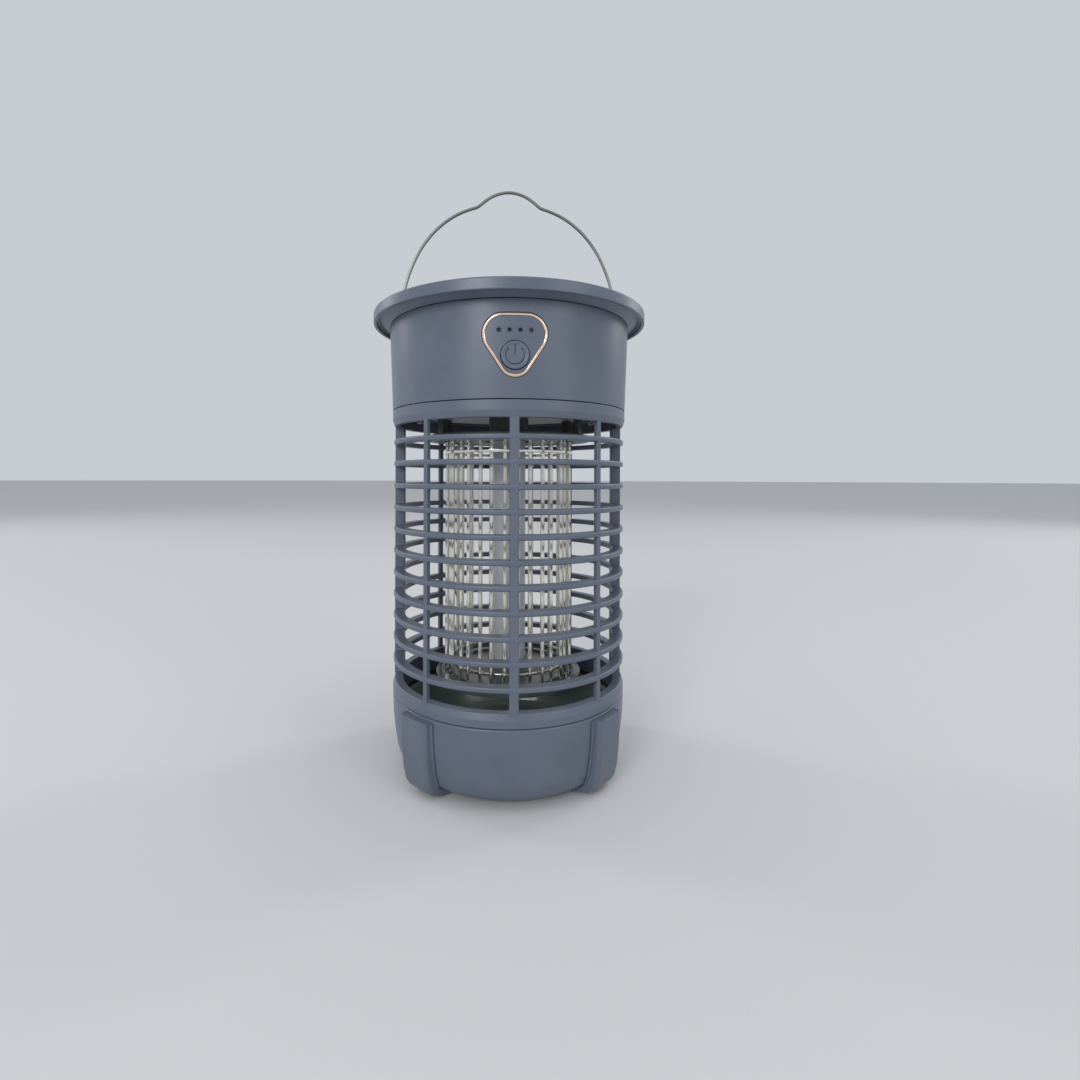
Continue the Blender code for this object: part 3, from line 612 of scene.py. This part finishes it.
def wall_outline(low, high, out, depth, edge):
    """A band that follows the head's wall, standing out of it by `out`."""
    return rounded(
        [
            (wall_radius(high) + out, high, edge),
            (wall_radius(low) + out, low, edge),
            (wall_radius(low) + out - depth, low, edge),
            (wall_radius(high) + out - depth, high, edge),
        ],
        3,
    )


def build_housing():
    outline = wall_outline(HOUSING_LOW, HOUSING_HIGH, 0, WALL, 0.3 * MM)
    wall = lathe("head_wall", outline, steps=256)
    posts, bores = bmesh.new(), bmesh.new()
    post_radius, bore_depth = 3.6 * MM, 13 * MM
    for degrees in SCREW_ANGLES:
        low = around(SCREW_CIRCLE + MM, degrees, HOUSING_LOW + WALL + GAP)
        high = around(SCREW_CIRCLE + MM, degrees, SPIGOT_LOW - 0.4 * MM)
        add_rod(posts, post_radius, low, high)
        for end, depth in ((low, bore_depth), (high, -bore_depth)):
            mouth = around(SCREW_CIRCLE, degrees, end.z - math.copysign(MM, depth))
            add_rod(bores, SCREW_HOLE, mouth, around(SCREW_CIRCLE, degrees, end.z + depth))
    webs = bmesh.new()
    for degrees in SCREW_ANGLES:
        low, high = HOUSING_LOW + WALL + GAP, SPIGOT_LOW - 0.4 * MM
        size = (5 * MM, 2.4 * MM, high - low)
        add_block(webs, size, (SCREW_CIRCLE + 5 * MM, 0, (low + high) / 2), degrees)
    combine(wall, "UNION", link("posts", mesh_of("posts", posts)))
    combine(wall, "UNION", link("webs", mesh_of("webs", webs)))
    combine(wall, "DIFFERENCE", link("bores", mesh_of("bores", bores)))
    combine(wall, "DIFFERENCE", badge_prism("badge_opening", GAP))
    port_size = (11 * MM, 12 * MM, 5.4 * MM)
    port = tool("port", lambda bm: add_block(bm, port_size, (0, 62 * MM, PORT_HEIGHT)))
    combine(wall, "DIFFERENCE", port)
    dress(wall, "housing_plastic", "lantern", "upper_housing")


def build_bezel():
    """A band with a crowned front that follows the badge's outline and the wall's curve."""
    rows = []
    outer = even(badge_outline(0), 0.5 * MM)
    crown, edge, rise = 7, 0.15 * MM, 0.35 * MM
    section = [(0.0, -WALL), (0.0, edge)]
    for step in range(1, crown):
        share = step / crown
        section.append((share * BEZEL_WIDTH, edge + rise * math.sin(math.pi * share)))
    section += [(BEZEL_WIDTH, edge), (BEZEL_WIDTH, -WALL)]
    bm = bmesh.new()
    for index, point in enumerate(outer):
        along_edge = (outer[(index + 1) % len(outer)] - outer[index - 1]).normalized()
        inward = Vector((-along_edge.y, along_edge.x))
        row = []
        for inset, out in section:
            x, z = point + inward * inset
            radius = wall_radius(z) + out
            row.append(bm.verts.new((x, -math.sqrt(radius**2 - x**2), z)))
        rows.append(row)
    for one, two in zip(rows, rows[1:] + rows[:1]):
        for index in range(len(section)):
            after = (index + 1) % len(section)
            bm.faces.new((one[index], two[index], two[after], one[after]))
    dress(link("bezel", mesh_of("bezel", bm)), "bezel_metal", "lantern", "badge_bezel")


def led_places():
    return [(index - 1.5) * LED_PITCH for index in range(4)]


def build_panel():
    outline = wall_outline(*BADGE_BAND, -PANEL_SUNK, WALL, 0)
    panel = lathe("badge_face", outline, steps=AROUND_FINE)
    combine(panel, "INTERSECT", badge_prism("panel_outside", -BEZEL_WIDTH - 0.1 * MM))
    hole = BUTTON_RADIUS + 0.35 * MM
    start, end = (0, CUT_FRONT, BUTTON_HEIGHT), (0, CUT_BACK, BUTTON_HEIGHT)
    key_hole = tool("key_hole", lambda bm: add_rod(bm, hole, start, end, 96))
    combine(panel, "DIFFERENCE", key_hole)
    holes, mouths = bmesh.new(), bmesh.new()
    for x in led_places():
        face = -math.sqrt((wall_radius(LED_HEIGHT) - PANEL_SUNK) ** 2 - x**2)
        add_rod(holes, LED_HOLE, (x, CUT_FRONT, LED_HEIGHT), (x, CUT_BACK, LED_HEIGHT), 32)
        mouth = [(0, 0), (2.15 * MM, 0), (0.85 * MM, 1.0 * MM), (0, 1.0 * MM)]
        start = (x, face - 0.55 * MM, LED_HEIGHT)
        add_turned(mouths, mouth, along(start, (x, 0, LED_HEIGHT)), 32)
    combine(panel, "DIFFERENCE", link("led_holes", mesh_of("led_holes", holes)))
    combine(panel, "DIFFERENCE", link("led_mouths", mesh_of("led_mouths", mouths)))
    dress(panel, "housing_plastic", "lantern", "badge_panel", sharp=30)


def build_key():
    """The round key: a raised rim, a dished face and an engraved power symbol."""
    face, back = BUTTON_FACE, -58.7 * MM
    depth = back - face
    corners = [
        (0, depth - 0.45 * MM, 0),
        (4.9 * MM, depth - 0.40 * MM, 0.6 * MM),
        (5.5 * MM, depth, 0.5 * MM),
        (BUTTON_RADIUS, depth, 0.55 * MM),
        (BUTTON_RADIUS, depth - 4.1 * MM, 0.1 * MM),
        (7.6 * MM, depth - 4.1 * MM, 0.2 * MM),
        (7.6 * MM, depth - 5.0 * MM, 0.2 * MM),
        (1.5 * MM, depth - 5.0 * MM, 0.2 * MM),
        (1.5 * MM, 0, 0.2 * MM),
        (0, 0, 0),
    ]
    facing = along((0, back, BUTTON_HEIGHT), (0, face, BUTTON_HEIGHT))
    outline = rounded(corners, 4)
    key = tool("key", lambda bm: add_turned(bm, outline, facing, 128))
    combine(key, "DIFFERENCE", power_symbol(face))
    dress(key, "button_plastic", "button", "power_button", sharp=35)


def power_symbol(face):
    """The cutter for a ring that is open at the top, and an upright bar in the opening."""
    radius, width, depth, opening = 4.2 * MM, 0.7 * MM, 1.6 * MM, 44
    facing = Matrix.Translation((0, face + 0.3 * MM, BUTTON_HEIGHT))
    facing = facing @ Matrix.Rotation(math.pi / 2, 4, "X")
    bm = bmesh.new()
    ring = bmesh.new()
    section = [
        (radius + width / 2, depth / 2),
        (radius + width / 2, -depth / 2),
        (radius - width / 2, -depth / 2),
        (radius - width / 2, depth / 2),
    ]
    revolve(ring, section, 64, 90 + opening, 450 - opening)
    bmesh.ops.transform(ring, matrix=facing, verts=ring.verts)
    mesh = mesh_of("ring", ring)
    bm.from_mesh(mesh)
    bpy.data.meshes.remove(mesh)
    corner = width / 2
    bar = rounded(
        [
            (-corner, 0.1 * MM, corner),
            (corner, 0.1 * MM, corner),
            (corner, 4.9 * MM, corner),
            (-corner, 4.9 * MM, corner),
        ],
        5,
    )
    add_prism(bm, bar, depth, facing)
    return link("power_symbol", mesh_of("power_symbol", bm))


def build_lights():
    for index, x in enumerate(led_places()):
        front, back, shoulder = -63.2 * MM, -54.7 * MM, -61.0 * MM
        corners = [
            (0, back - front, 0),
            (0.8 * MM, back - front, 0.5 * MM),
            (0.8 * MM, back - shoulder, 0),
            (1.5 * MM, back - shoulder, 0.3 * MM),
            (1.5 * MM, 0, 0.1 * MM),
            (0, 0, 0),
        ]
        facing = along((x, back, LED_HEIGHT), (x, front, LED_HEIGHT))
        outline = rounded(corners, 6)
        light = tool(f"light_{index + 1}", lambda bm: add_turned(bm, outline, facing, 32))
        dress(light, "led_lens", "lantern", f"charge_led_{index + 1}")


def build_screws():
    for index, degrees in enumerate(SCREW_ANGLES, 1):
        top = around(SCREW_CIRCLE, degrees, DISH_FLOOR + GAP)
        screw(f"lid_screw_{index}", top, Vector((0, 0, 1)), 16.7 * MM, f"cover_screw_{index}")
        low = around(SCREW_CIRCLE, degrees, CAGE_TOP - 2.2 * MM)
        screw(f"flange_screw_{index}", low, Vector((0, 0, -1)), 15.6 * MM, f"cage_screw_{index}")


def screw(name, seat, outward, length, node):
    """A pan head on its seat with a cross recess, and a shank the other way."""
    corners = [
        (0, 1.5 * MM, 0),
        (2.8 * MM, 1.5 * MM, 0.9 * MM),
        (2.8 * MM, 0, 0.1 * MM),
        (1.3 * MM, 0, 0),
        (1.3 * MM, -length, 0.6 * MM),
        (0, -length, 0),
    ]
    placing = along(seat, seat + outward)
    outline = rounded(corners, 5)
    made = tool(name, lambda bm: add_turned(bm, outline, placing, 40))
    for turn in (0, math.pi / 2):
        slot = [(-1.5 * MM, -0.27 * MM), (1.5 * MM, -0.27 * MM)]
        slot += [(1.5 * MM, 0.27 * MM), (-1.5 * MM, 0.27 * MM)]
        at = placing @ Matrix.Translation((0, 0, 1.4 * MM)) @ Matrix.Rotation(turn, 4, "Z")
        cutter = tool(f"{name}_slot", lambda bm: add_prism(bm, slot, 1.4 * MM, at))
        combine(made, "DIFFERENCE", cutter)
    dress(made, "screw_steel", "lantern", node)


def build_flap():
    """The rear port's rubber cover, a curved plate with rounded corners."""
    half_x, half_z = PORT_SIZE.x / 2, PORT_SIZE.z / 2
    low, high = PORT_HEIGHT - half_z, PORT_HEIGHT + half_z
    outline = wall_outline(low, high, 1.8 * MM, 1.5 * MM, 0.4 * MM)
    flap = lathe("port_flap", outline, steps=AROUND_FINE)
    corner = 2.2 * MM
    area = rounded(
        [
            (-half_x, -half_z - MM, corner),
            (half_x, -half_z - MM, corner),
            (half_x, half_z + 0.2 * MM, corner),
            (-half_x, half_z + 0.2 * MM, corner),
        ],
        6,
    )
    facing = Matrix.Translation((0, 66 * MM, PORT_HEIGHT)) @ Matrix.Rotation(math.pi / 2, 4, "X")
    cutter = tool("flap_area", lambda bm: add_prism(bm, area, 14 * MM, facing))
    combine(flap, "INTERSECT", cutter)
    dress(flap, "seal_rubber", "port_flap", "port_cover")


# ---------------------------------------------------------------- bail


def bail_route():
    """Half of the bail from its peak to the pivot, mirrored, as (x, height) in mm."""
    half = [
        (0, 314.55),
        (4.7, 313.9),
        (9.2, 312.2),
        (13.1, 309.7),
        (17.5, 306.2),
        (22.0, 304.6),
        (28.2, 302.0),
        (34.5, 298.1),
        (40.5, 293.0),
        (45.5, 287.3),
        (50.0, 280.6),
        (53.7, 273.0),
        (56.5, 265.5),
        (58.2, 258.5),
        (58.9, 251.0),
        (58.9, 245.2),
        (59.4, 244.0),
        (60.6, PIVOT_HEIGHT / MM),
        (64.6, PIVOT_HEIGHT / MM),
    ]
    return [(-x, z) for x, z in reversed(half[1:])] + half


def smooth(route):
    """A Catmull-Rom curve through the points."""
    points = [Vector((x * MM, 0, z * MM)) for x, z in route]
    ends = [2 * points[0] - points[1], *points, 2 * points[-1] - points[-2]]
    curve = []
    for a, b, c, d in zip(ends, ends[1:], ends[2:], ends[3:]):
        for part in range(BAIL_STEPS):
            t = part / BAIL_STEPS
            curve.append(
                0.5
                * (
                    2 * b
                    + (c - a) * t
                    + (2 * a - 5 * b + 4 * c - d) * t * t
                    + (3 * b - a - 3 * c + d) * t**3
                )
            )
    return [*curve, points[-1]]


def build_bail():
    bm = bmesh.new()
    path = smooth(bail_route())
    rows = []
    for index, point in enumerate(path):
        ahead = path[min(index + 1, len(path) - 1)] - path[max(index - 1, 0)]
        side = Vector((0, 1, 0))
        up = ahead.normalized().cross(side)
        row = []
        for step in range(BAIL_SIDES):
            angle = 2 * math.pi * step / BAIL_SIDES
            arm = side * math.cos(angle) + up * math.sin(angle)
            row.append(bm.verts.new(point + arm * BAIL_WIRE))
        rows.append(row)
    for one, two in zip(rows, rows[1:]):
        for index in range(BAIL_SIDES):
            after = (index + 1) % BAIL_SIDES
            bm.faces.new((one[index], one[after], two[after], two[index]))
    bm.faces.new(rows[0])
    bm.faces.new(rows[-1])
    dress(link("bail", mesh_of("bail", bm)), "bail_steel", "bail", "bail_handle")


def build_lugs():
    for name, side in (("left", -1), ("right", 1)):
        floor, half = DISH_FLOOR + GAP, 4.5 * MM
        outline = [(-half, floor), (half, floor)]
        for step in range(33):
            angle = math.pi * step / 32
            outline.append((half * math.cos(angle), PIVOT_HEIGHT + half * math.sin(angle)))
        facing = Matrix.Translation((side * 63 * MM, 0, 0))
        facing = facing @ Matrix.Rotation(math.pi / 2, 4, "Z")
        facing = facing @ Matrix.Rotation(math.pi / 2, 4, "X")
        lug = tool(f"lug_{name}", lambda bm: add_prism(bm, outline, 4.8 * MM, facing))
        soften(lug, 0.5 * MM)
        start = (side * 58 * MM, 0, PIVOT_HEIGHT)
        end = (side * 68 * MM, 0, PIVOT_HEIGHT)
        bore = tool("bore", lambda bm: add_rod(bm, BAIL_WIRE + GAP, start, end, 32))
        combine(lug, "DIFFERENCE", bore)
        dress(lug, "housing_plastic", "lantern", f"bail_socket_{name}")


# ---------------------------------------------------------------- cage


def ring_heights():
    return [LOWEST_RING + index * RING_PITCH for index in range(RING_COUNT)]


def ring_section(middle):
    top, low = middle + RING_HEIGHT / 2, middle - RING_HEIGHT / 2
    return rounded(
        [
            (RING_RADIUS, top, 0.9 * MM),
            (RING_RADIUS, low, 0.9 * MM),
            (RING_INNER, low, 0.4 * MM),
            (RING_INNER, top, 0.4 * MM),
        ],
        5,
    )


def band_sections():
    flange = CAGE_TOP - 1.9 * MM
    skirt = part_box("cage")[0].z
    upper = [
        (HOUSING_LOW_RADIUS, CAGE_TOP, 0.3 * MM),
        (HOUSING_LOW_RADIUS, 185.3 * MM, 1.2 * MM),
        (RIB_RADIUS, UPPER_BAND_LOW, 0.5 * MM),
        (59.5 * MM, UPPER_BAND_LOW, 0.4 * MM),
        (59.5 * MM, flange, 0.5 * MM),
        (51.0 * MM, flange, 0.3 * MM),
        (51.0 * MM, CAGE_TOP, 0.3 * MM),
    ]
    lower = [
        (62.2 * MM, LOWER_BAND_TOP, 0.6 * MM),
        (TRAY_RADIUS, 44.0 * MM, 2.0 * MM),
        (TRAY_RADIUS, TRAY_RIM + 0.4 * MM, 0.3 * MM),
        (60.6 * MM, TRAY_RIM + 0.4 * MM, 0.1 * MM),
        (60.4 * MM, skirt, 0.3 * MM),
        (58.8 * MM, skirt, 0.3 * MM),
        (58.8 * MM, LOWER_BAND_TOP - 2 * MM, 0.4 * MM),
        (RING_INNER, LOWER_BAND_TOP, 0.4 * MM),
    ]
    return rounded(upper, 5), rounded(lower, 5)


def add_fillet(bm, degrees, side, half_width, height, way, radii):
    """A concave corner between a rib's side and the face of a ring or a band."""
    size, sunk = RIB_FILLET, 0.25 * MM
    outline = [(-sunk, -sunk), (size, -sunk)]
    for step in range(6):
        angle = math.pi / 2 * step / 5
        outline.append((size - size * math.sin(angle), size - size * math.cos(angle)))
    outline.append((-sunk, size))
    radial, tangent = around(1, degrees, 0), around(1, degrees + 90, 0)
    faces = []
    for radius in radii:
        faces.append(
            [
                bm.verts.new(
                    radial * radius
                    + tangent * side * (half_width + s)
                    + Vector((0, 0, height + way * z))
                )
                for s, z in outline
            ]
        )
    inner, outer = faces
    bm.faces.new(inner)
    bm.faces.new(outer)
    for index in range(len(outline)):
        after = (index + 1) % len(outline)
        bm.faces.new((inner[index], inner[after], outer[after], outer[index]))


def cage_faces():
    """Each level where a rib meets a ring or a band, and the way out of it."""
    faces = [(LOWER_BAND_TOP, 1), (UPPER_BAND_LOW, -1)]
    for middle in ring_heights():
        faces += [(middle + RING_HEIGHT / 2, 1), (middle - RING_HEIGHT / 2, -1)]
    return faces


def build_cage():
    rings = [ring_section(middle) for middle in ring_heights()]
    cage = lathe("slatted_cage", *band_sections(), *rings, steps=256)
    ribs, fillets = bmesh.new(), bmesh.new()
    low, high = LOWER_BAND_TOP - MM, UPPER_BAND_LOW + MM
    for degrees, (width, depth) in RIBS.items():
        size = (depth, width, high - low)
        add_block(ribs, size, (RIB_RADIUS - depth / 2, 0, (low + high) / 2), degrees)
        radii = (max(RIB_RADIUS - depth, RING_INNER) + 0.4 * MM, RING_RADIUS - MM)
        for side in (-1, 1):
            for height, way in cage_faces():
                add_fillet(fillets, degrees, side, width / 2, height, way, radii)
    ribs = soften(link("ribs", mesh_of("ribs", ribs)), 0.55 * MM)
    combine(cage, "UNION", ribs)
    combine(cage, "UNION", link("fillets", mesh_of("fillets", fillets)))
    holes = bmesh.new()
    for degrees in SCREW_ANGLES:
        start = around(SCREW_CIRCLE, degrees, CAGE_TOP - 4 * MM)
        add_rod(holes, SCREW_HOLE, start, around(SCREW_CIRCLE, degrees, CAGE_TOP + MM))
    combine(cage, "DIFFERENCE", link("holes", mesh_of("holes", holes)))
    dress(cage, "housing_plastic", "lantern", "cage", sharp=50)


# ---------------------------------------------------------------- grid and lamp


def build_grid(name, node, first_angle, circle, band_radius, band_height):
    """Upright wires with rounded ends, one band, and a crimp where they meet."""
    half = 0.8 * MM
    section = rounded(
        [
            (band_radius + half / 2, band_height + half, 0.3 * MM),
            (band_radius + half / 2, band_height - half, 0.3 * MM),
            (band_radius - half / 2, band_height - half, 0.3 * MM),
            (band_radius - half / 2, band_height + half, 0.3 * MM),
        ],
        3,
    )
    grid = lathe(name, section, steps=160)
    wires, crimps = bmesh.new(), bmesh.new()
    for index in range(WIRES_PER_GRID):
        degrees = first_angle + index * 360 / WIRES_PER_GRID
        low, high = around(circle, degrees, GRID_LOW), around(circle, degrees, GRID_HIGH)
        add_rod(wires, GRID_WIRE, low, high, 20, 0.3 * MM)
        start = around(circle, degrees, band_height - 1.5 * MM)
        end = around(circle, degrees, band_height + 1.5 * MM)
        add_rod(crimps, 1.2 * MM, start, end, 16, 0.45 * MM)
    combine(grid, "UNION", link("wires", mesh_of("wires", wires)))
    combine(grid, "UNION", link("crimps", mesh_of("crimps", crimps)))
    dress(grid, "grid_steel", "lantern", node)


def build_grids():
    step = 360 / WIRES_PER_GRID
    live, ground = GRID_RADIUS + GRID_STAGGER, GRID_RADIUS - GRID_STAGGER
    build_grid("live_wires", "live_grid", step / 4, live, live + MM, 168.2 * MM)
    build_grid("ground_wires", "ground_grid", 3 * step / 4, ground, ground - MM, 54.5 * MM)


def build_insulators():
    low, high, groove = 174.6 * MM, 177.4 * MM, GRID_HIGH + GAP
    corners = [
        (45 * MM, high, 0.5 * MM),
        (45 * MM, low, 0.5 * MM),
        (36.0 * MM, low, 0.2 * MM),
        (36.0 * MM, groove, 0),
        (31.0 * MM, groove, 0),
        (31.0 * MM, low, 0.2 * MM),
        (14 * MM, low, 0.5 * MM),
        (14 * MM, high, 0.5 * MM),
    ]
    plate = lathe("wire_plate_top", rounded(corners, 3))
    posts = bmesh.new()
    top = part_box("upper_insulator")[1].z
    for index in range(6):
        size = (3 * MM, 6 * MM, top - high + MM)
        add_block(posts, size, (41 * MM, 0, (top + high - MM) / 2), 60 * index + 30)
    combine(plate, "UNION", soften(link("posts", mesh_of("posts", posts)), 0.4 * MM))
    dress(plate, "insulator_plastic", "lantern", "upper_insulator")

    low, high, cup = 45.6 * MM, 48.6 * MM, LAMP_RADIUS + GAP
    corners = [
        (cup + 1.6 * MM, 55 * MM, 0.4 * MM),
        (cup + 1.6 * MM, high, 0.6 * MM),
        (30.7 * MM, high, 0.3 * MM),
        (30.7 * MM, GRID_LOW - GAP, 0),
        (36.1 * MM, GRID_LOW - GAP, 0),
        (36.1 * MM, high, 0.3 * MM),
        (40 * MM, high, 0.5 * MM),
        (40 * MM, low, 0.5 * MM),
        (cup - 2 * MM, low, 0.3 * MM),
        (cup - 2 * MM, LAMP_LOW - GAP, 0),
        (cup, LAMP_LOW - GAP, 0),
        (cup, 55 * MM, 0.3 * MM),
    ]
    # the lower plate takes the paler copy of the insulator plastic: painted light
    dress(
        lathe("wire_plate_low", rounded(corners, 3)),
        "insulator_plastic",
        "lantern",
        "lower_insulator",
        look="insulator_painted_light",
    )


def build_lamp():
    inner = LAMP_RADIUS - 1.2 * MM
    corners = [
        (LAMP_RADIUS, LAMP_HIGH, 0.2 * MM),
        (LAMP_RADIUS, LAMP_LOW, 1.8 * MM),
        (0, LAMP_LOW, 0),
        (0, LAMP_LOW + 1.2 * MM, 0),
        (inner, LAMP_LOW + 1.8 * MM, 0.6 * MM),
        (inner, LAMP_HIGH, 0.2 * MM),
    ]
    tube = lathe("frosted_tube", rounded(corners, 6), steps=96)
    dress(tube, "lamp_plastic", "lantern", "lamp_tube")
    corners = [
        (0, SOCKET_HIGH, 0),
        (SOCKET_RADIUS, SOCKET_HIGH, 0.2 * MM),
        (SOCKET_RADIUS, SOCKET_LOW + 1.2 * MM, 0.5 * MM),
        (SOCKET_RADIUS - 1.2 * MM, SOCKET_LOW, 0.4 * MM),
        (0, SOCKET_LOW, 0),
    ]
    socket = lathe("socket", rounded(corners, 4), steps=96)
    dress(socket, "socket_plastic", "lantern", "lamp_socket")
    corners = [
        (0, CAGE_TOP, 0),
        (REFLECTOR_RADIUS, CAGE_TOP, 0.3 * MM),
        (REFLECTOR_RADIUS, REFLECTOR_LOW, 0.3 * MM),
        (0, REFLECTOR_LOW, 0),
    ]
    plate = lathe("reflector", rounded(corners, 3))
    dress(plate, "reflector_plastic", "lantern", "reflector_plate")


# ---------------------------------------------------------------- tray and feet


def tray_side(grow):
    return [
        (TRAY_RADIUS + grow, TRAY_RIM),
        (62.9 * MM + grow, 30.0 * MM),
        (62.1 * MM + grow, 22.0 * MM),
        (60.6 * MM + grow, 12.5 * MM),
        (58.4 * MM + grow, 6.8 * MM),
        (54.5 * MM + grow / 2, TRAY_UNDERSIDE - grow),
    ]


def build_tray():
    side = tray_side(0)
    corners = [
        (*side[0], 1.0 * MM),
        (*side[1], 25 * MM),
        (*side[2], 25 * MM),
        (*side[3], 12 * MM),
        (*side[4], 4 * MM),
        (*side[5], 1.5 * MM),
        (0, TRAY_UNDERSIDE, 0),
        (0, TRAY_UNDERSIDE + WALL, 0),
        (53.8 * MM, TRAY_UNDERSIDE + WALL, 2 * MM),
        (56.6 * MM, 8.2 * MM, 2 * MM),
        (58.6 * MM, 13.5 * MM, 6 * MM),
        (59.9 * MM, 22.0 * MM, 6 * MM),
        (60.2 * MM, 27.0 * MM, 1 * MM),
        (58.6 * MM, 29.5 * MM, 0.4 * MM),
        (58.6 * MM, 31.6 * MM, 0.2 * MM),
        (60.9 * MM, 31.6 * MM, 0.2 * MM),
        (61.1 * MM, TRAY_RIM, 0.4 * MM),
    ]
    tray = lathe("tray", rounded(corners, 4), steps=256)
    dress(tray, "housing_plastic", "tray", "insect_tray")
    # the hollow's faces take the paler copy of the plastic: painted light inside the tray
    tray.data.materials.append(MATERIALS["tray_hollow_painted_light"])
    for face in tray.data.polygons:
        if faces_inward(face):
            face.material_index = 1


def faces_inward(face):
    """True for the faces of the tray's hollow, which take a paler copy of its plastic as painted
    light.
    """
    place = face.center
    outward = place.x * face.normal.x + place.y * face.normal.y
    above_floor = place.z > TRAY_UNDERSIDE + WALL / 2
    return above_floor and place.xy.length < TRAY_SEAT and (outward < 0 or face.normal.z > 0.5)


def build_seal():
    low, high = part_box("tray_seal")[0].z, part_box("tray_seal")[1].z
    corners = [
        (60.4 * MM, high, 0.5 * MM),
        (60.4 * MM, low, 0.5 * MM),
        (58.9 * MM, low, 0.5 * MM),
        (58.9 * MM, high, 0.5 * MM),
    ]
    dress(lathe("seal", rounded(corners, 4)), "seal_rubber", "seal", "tray_seal")


def tray_plug(name):
    """The space that the tray takes, with a gap, to seat the feet against."""
    side = tray_side(GAP)
    top = FOOT_TOP + 2 * MM
    outline = [(0, top), (side[0][0], top), *side[1:], (0, side[-1][1])]
    return lathe(name, outline, steps=256)


def foot_side():
    """The foot's outer face from its top down to its pad, as (radius, height)."""
    corners = [
        (66.6 * MM, FOOT_TOP, 0),
        (66.2 * MM, 23.0 * MM, 30 * MM),
        (65.2 * MM, 13.0 * MM, 20 * MM),
        (63.6 * MM, 6.4 * MM, 8 * MM),
        (61.2 * MM, 2.8 * MM, 4 * MM),
        (54.0 * MM, 1.2 * MM, 20 * MM),
        (47.0 * MM, 0, 0),
        (FOOT_INNER, 0, 0),
        (FOOT_INNER, FOOT_TOP, 0),
    ]
    return rounded(corners, 6)[:-2]


def foot_body(name, standing):
    """Plan sections with rounded outer corners, one above the other up the foot's face."""
    corner, half = 2.2 * MM, FOOT_WIDTH / 2
    bm = bmesh.new()
    rows = []
    for radius, height in foot_side():
        section = [(FOOT_INNER, -half)]
        for side, start in ((-1, -math.pi / 2), (1, 0)):
            for step in range(8):
                angle = start + math.pi / 2 * step / 7
                x = radius - corner + corner * math.cos(angle)
                section.append((x, side * (half - corner) + corner * math.sin(angle)))
        section.append((FOOT_INNER, half))
        rows.append([bm.verts.new((x, y, height)) for x, y in section])
    for one, two in zip(rows, rows[1:]):
        for index in range(len(one)):
            after = (index + 1) % len(one)
            bm.faces.new((one[index], one[after], two[after], two[index]))
    bm.faces.new(rows[0])
    bm.faces.new(rows[-1])
    bmesh.ops.transform(bm, matrix=standing, verts=bm.verts)
    return soften(link(name, mesh_of(name, bm)), 0.6 * MM, 3, 50)


def foot_border(degrees):
    """A thin raised border on the tray's wall beside and behind the foot."""
    proud = 0.7 * MM
    side = [(radius + proud, height) for radius, height in tray_side(GAP)[:5]]
    back = [(radius - 1.5 * MM, height) for radius, height in reversed(tray_side(GAP)[:5])]
    side[0] = (side[0][0], FOOT_TOP - 0.6 * MM)
    back[-1] = (back[-1][0], FOOT_TOP - 0.6 * MM)
    half = math.degrees(math.asin((FOOT_WIDTH / 2 + 1.7 * MM) / TRAY_RADIUS))
    bm = bmesh.new()
    revolve(bm, side + back, 48, degrees - half, degrees + half)
    return soften(link("border", mesh_of("border", bm)), 0.3 * MM, 2, 50)


def build_feet():
    for place, degrees in FOOT_ANGLES.items():
        standing = Matrix.Rotation(math.radians(degrees), 4, "Z")
        foot = foot_body(f"bumper_{place}", standing)
        combine(foot, "UNION", foot_border(degrees))
        combine(foot, "DIFFERENCE", tray_plug("plug"))
        dress(foot, "housing_plastic", "tray", f"foot_{place}")


# ---------------------------------------------------------------- assembly


def finish_cad_nodes():
    """The hidden pieces keep their CAD shape and take a finished material."""
    slots = {part["node"]: part["material_slot"] for part in frame["record"]["subparts"]}
    for name, obj in frame["nodes"].items():
        material = MATERIALS[slots[name]]
        if not obj.data.materials:
            obj.data.materials.append(material)
        for index in range(len(obj.data.materials)):
            obj.data.materials[index] = material


def build_object():
    build_lid()
    build_housing()
    build_bezel()
    build_panel()
    build_key()
    build_lights()
    build_screws()
    build_flap()
    build_bail()
    build_lugs()
    build_cage()
    build_grids()
    build_insulators()
    build_lamp()
    build_tray()
    build_seal()
    build_feet()


MATERIALS = build_materials()
build_camera()
build_light()
build_floor()
finish_cad_nodes()
build_object()
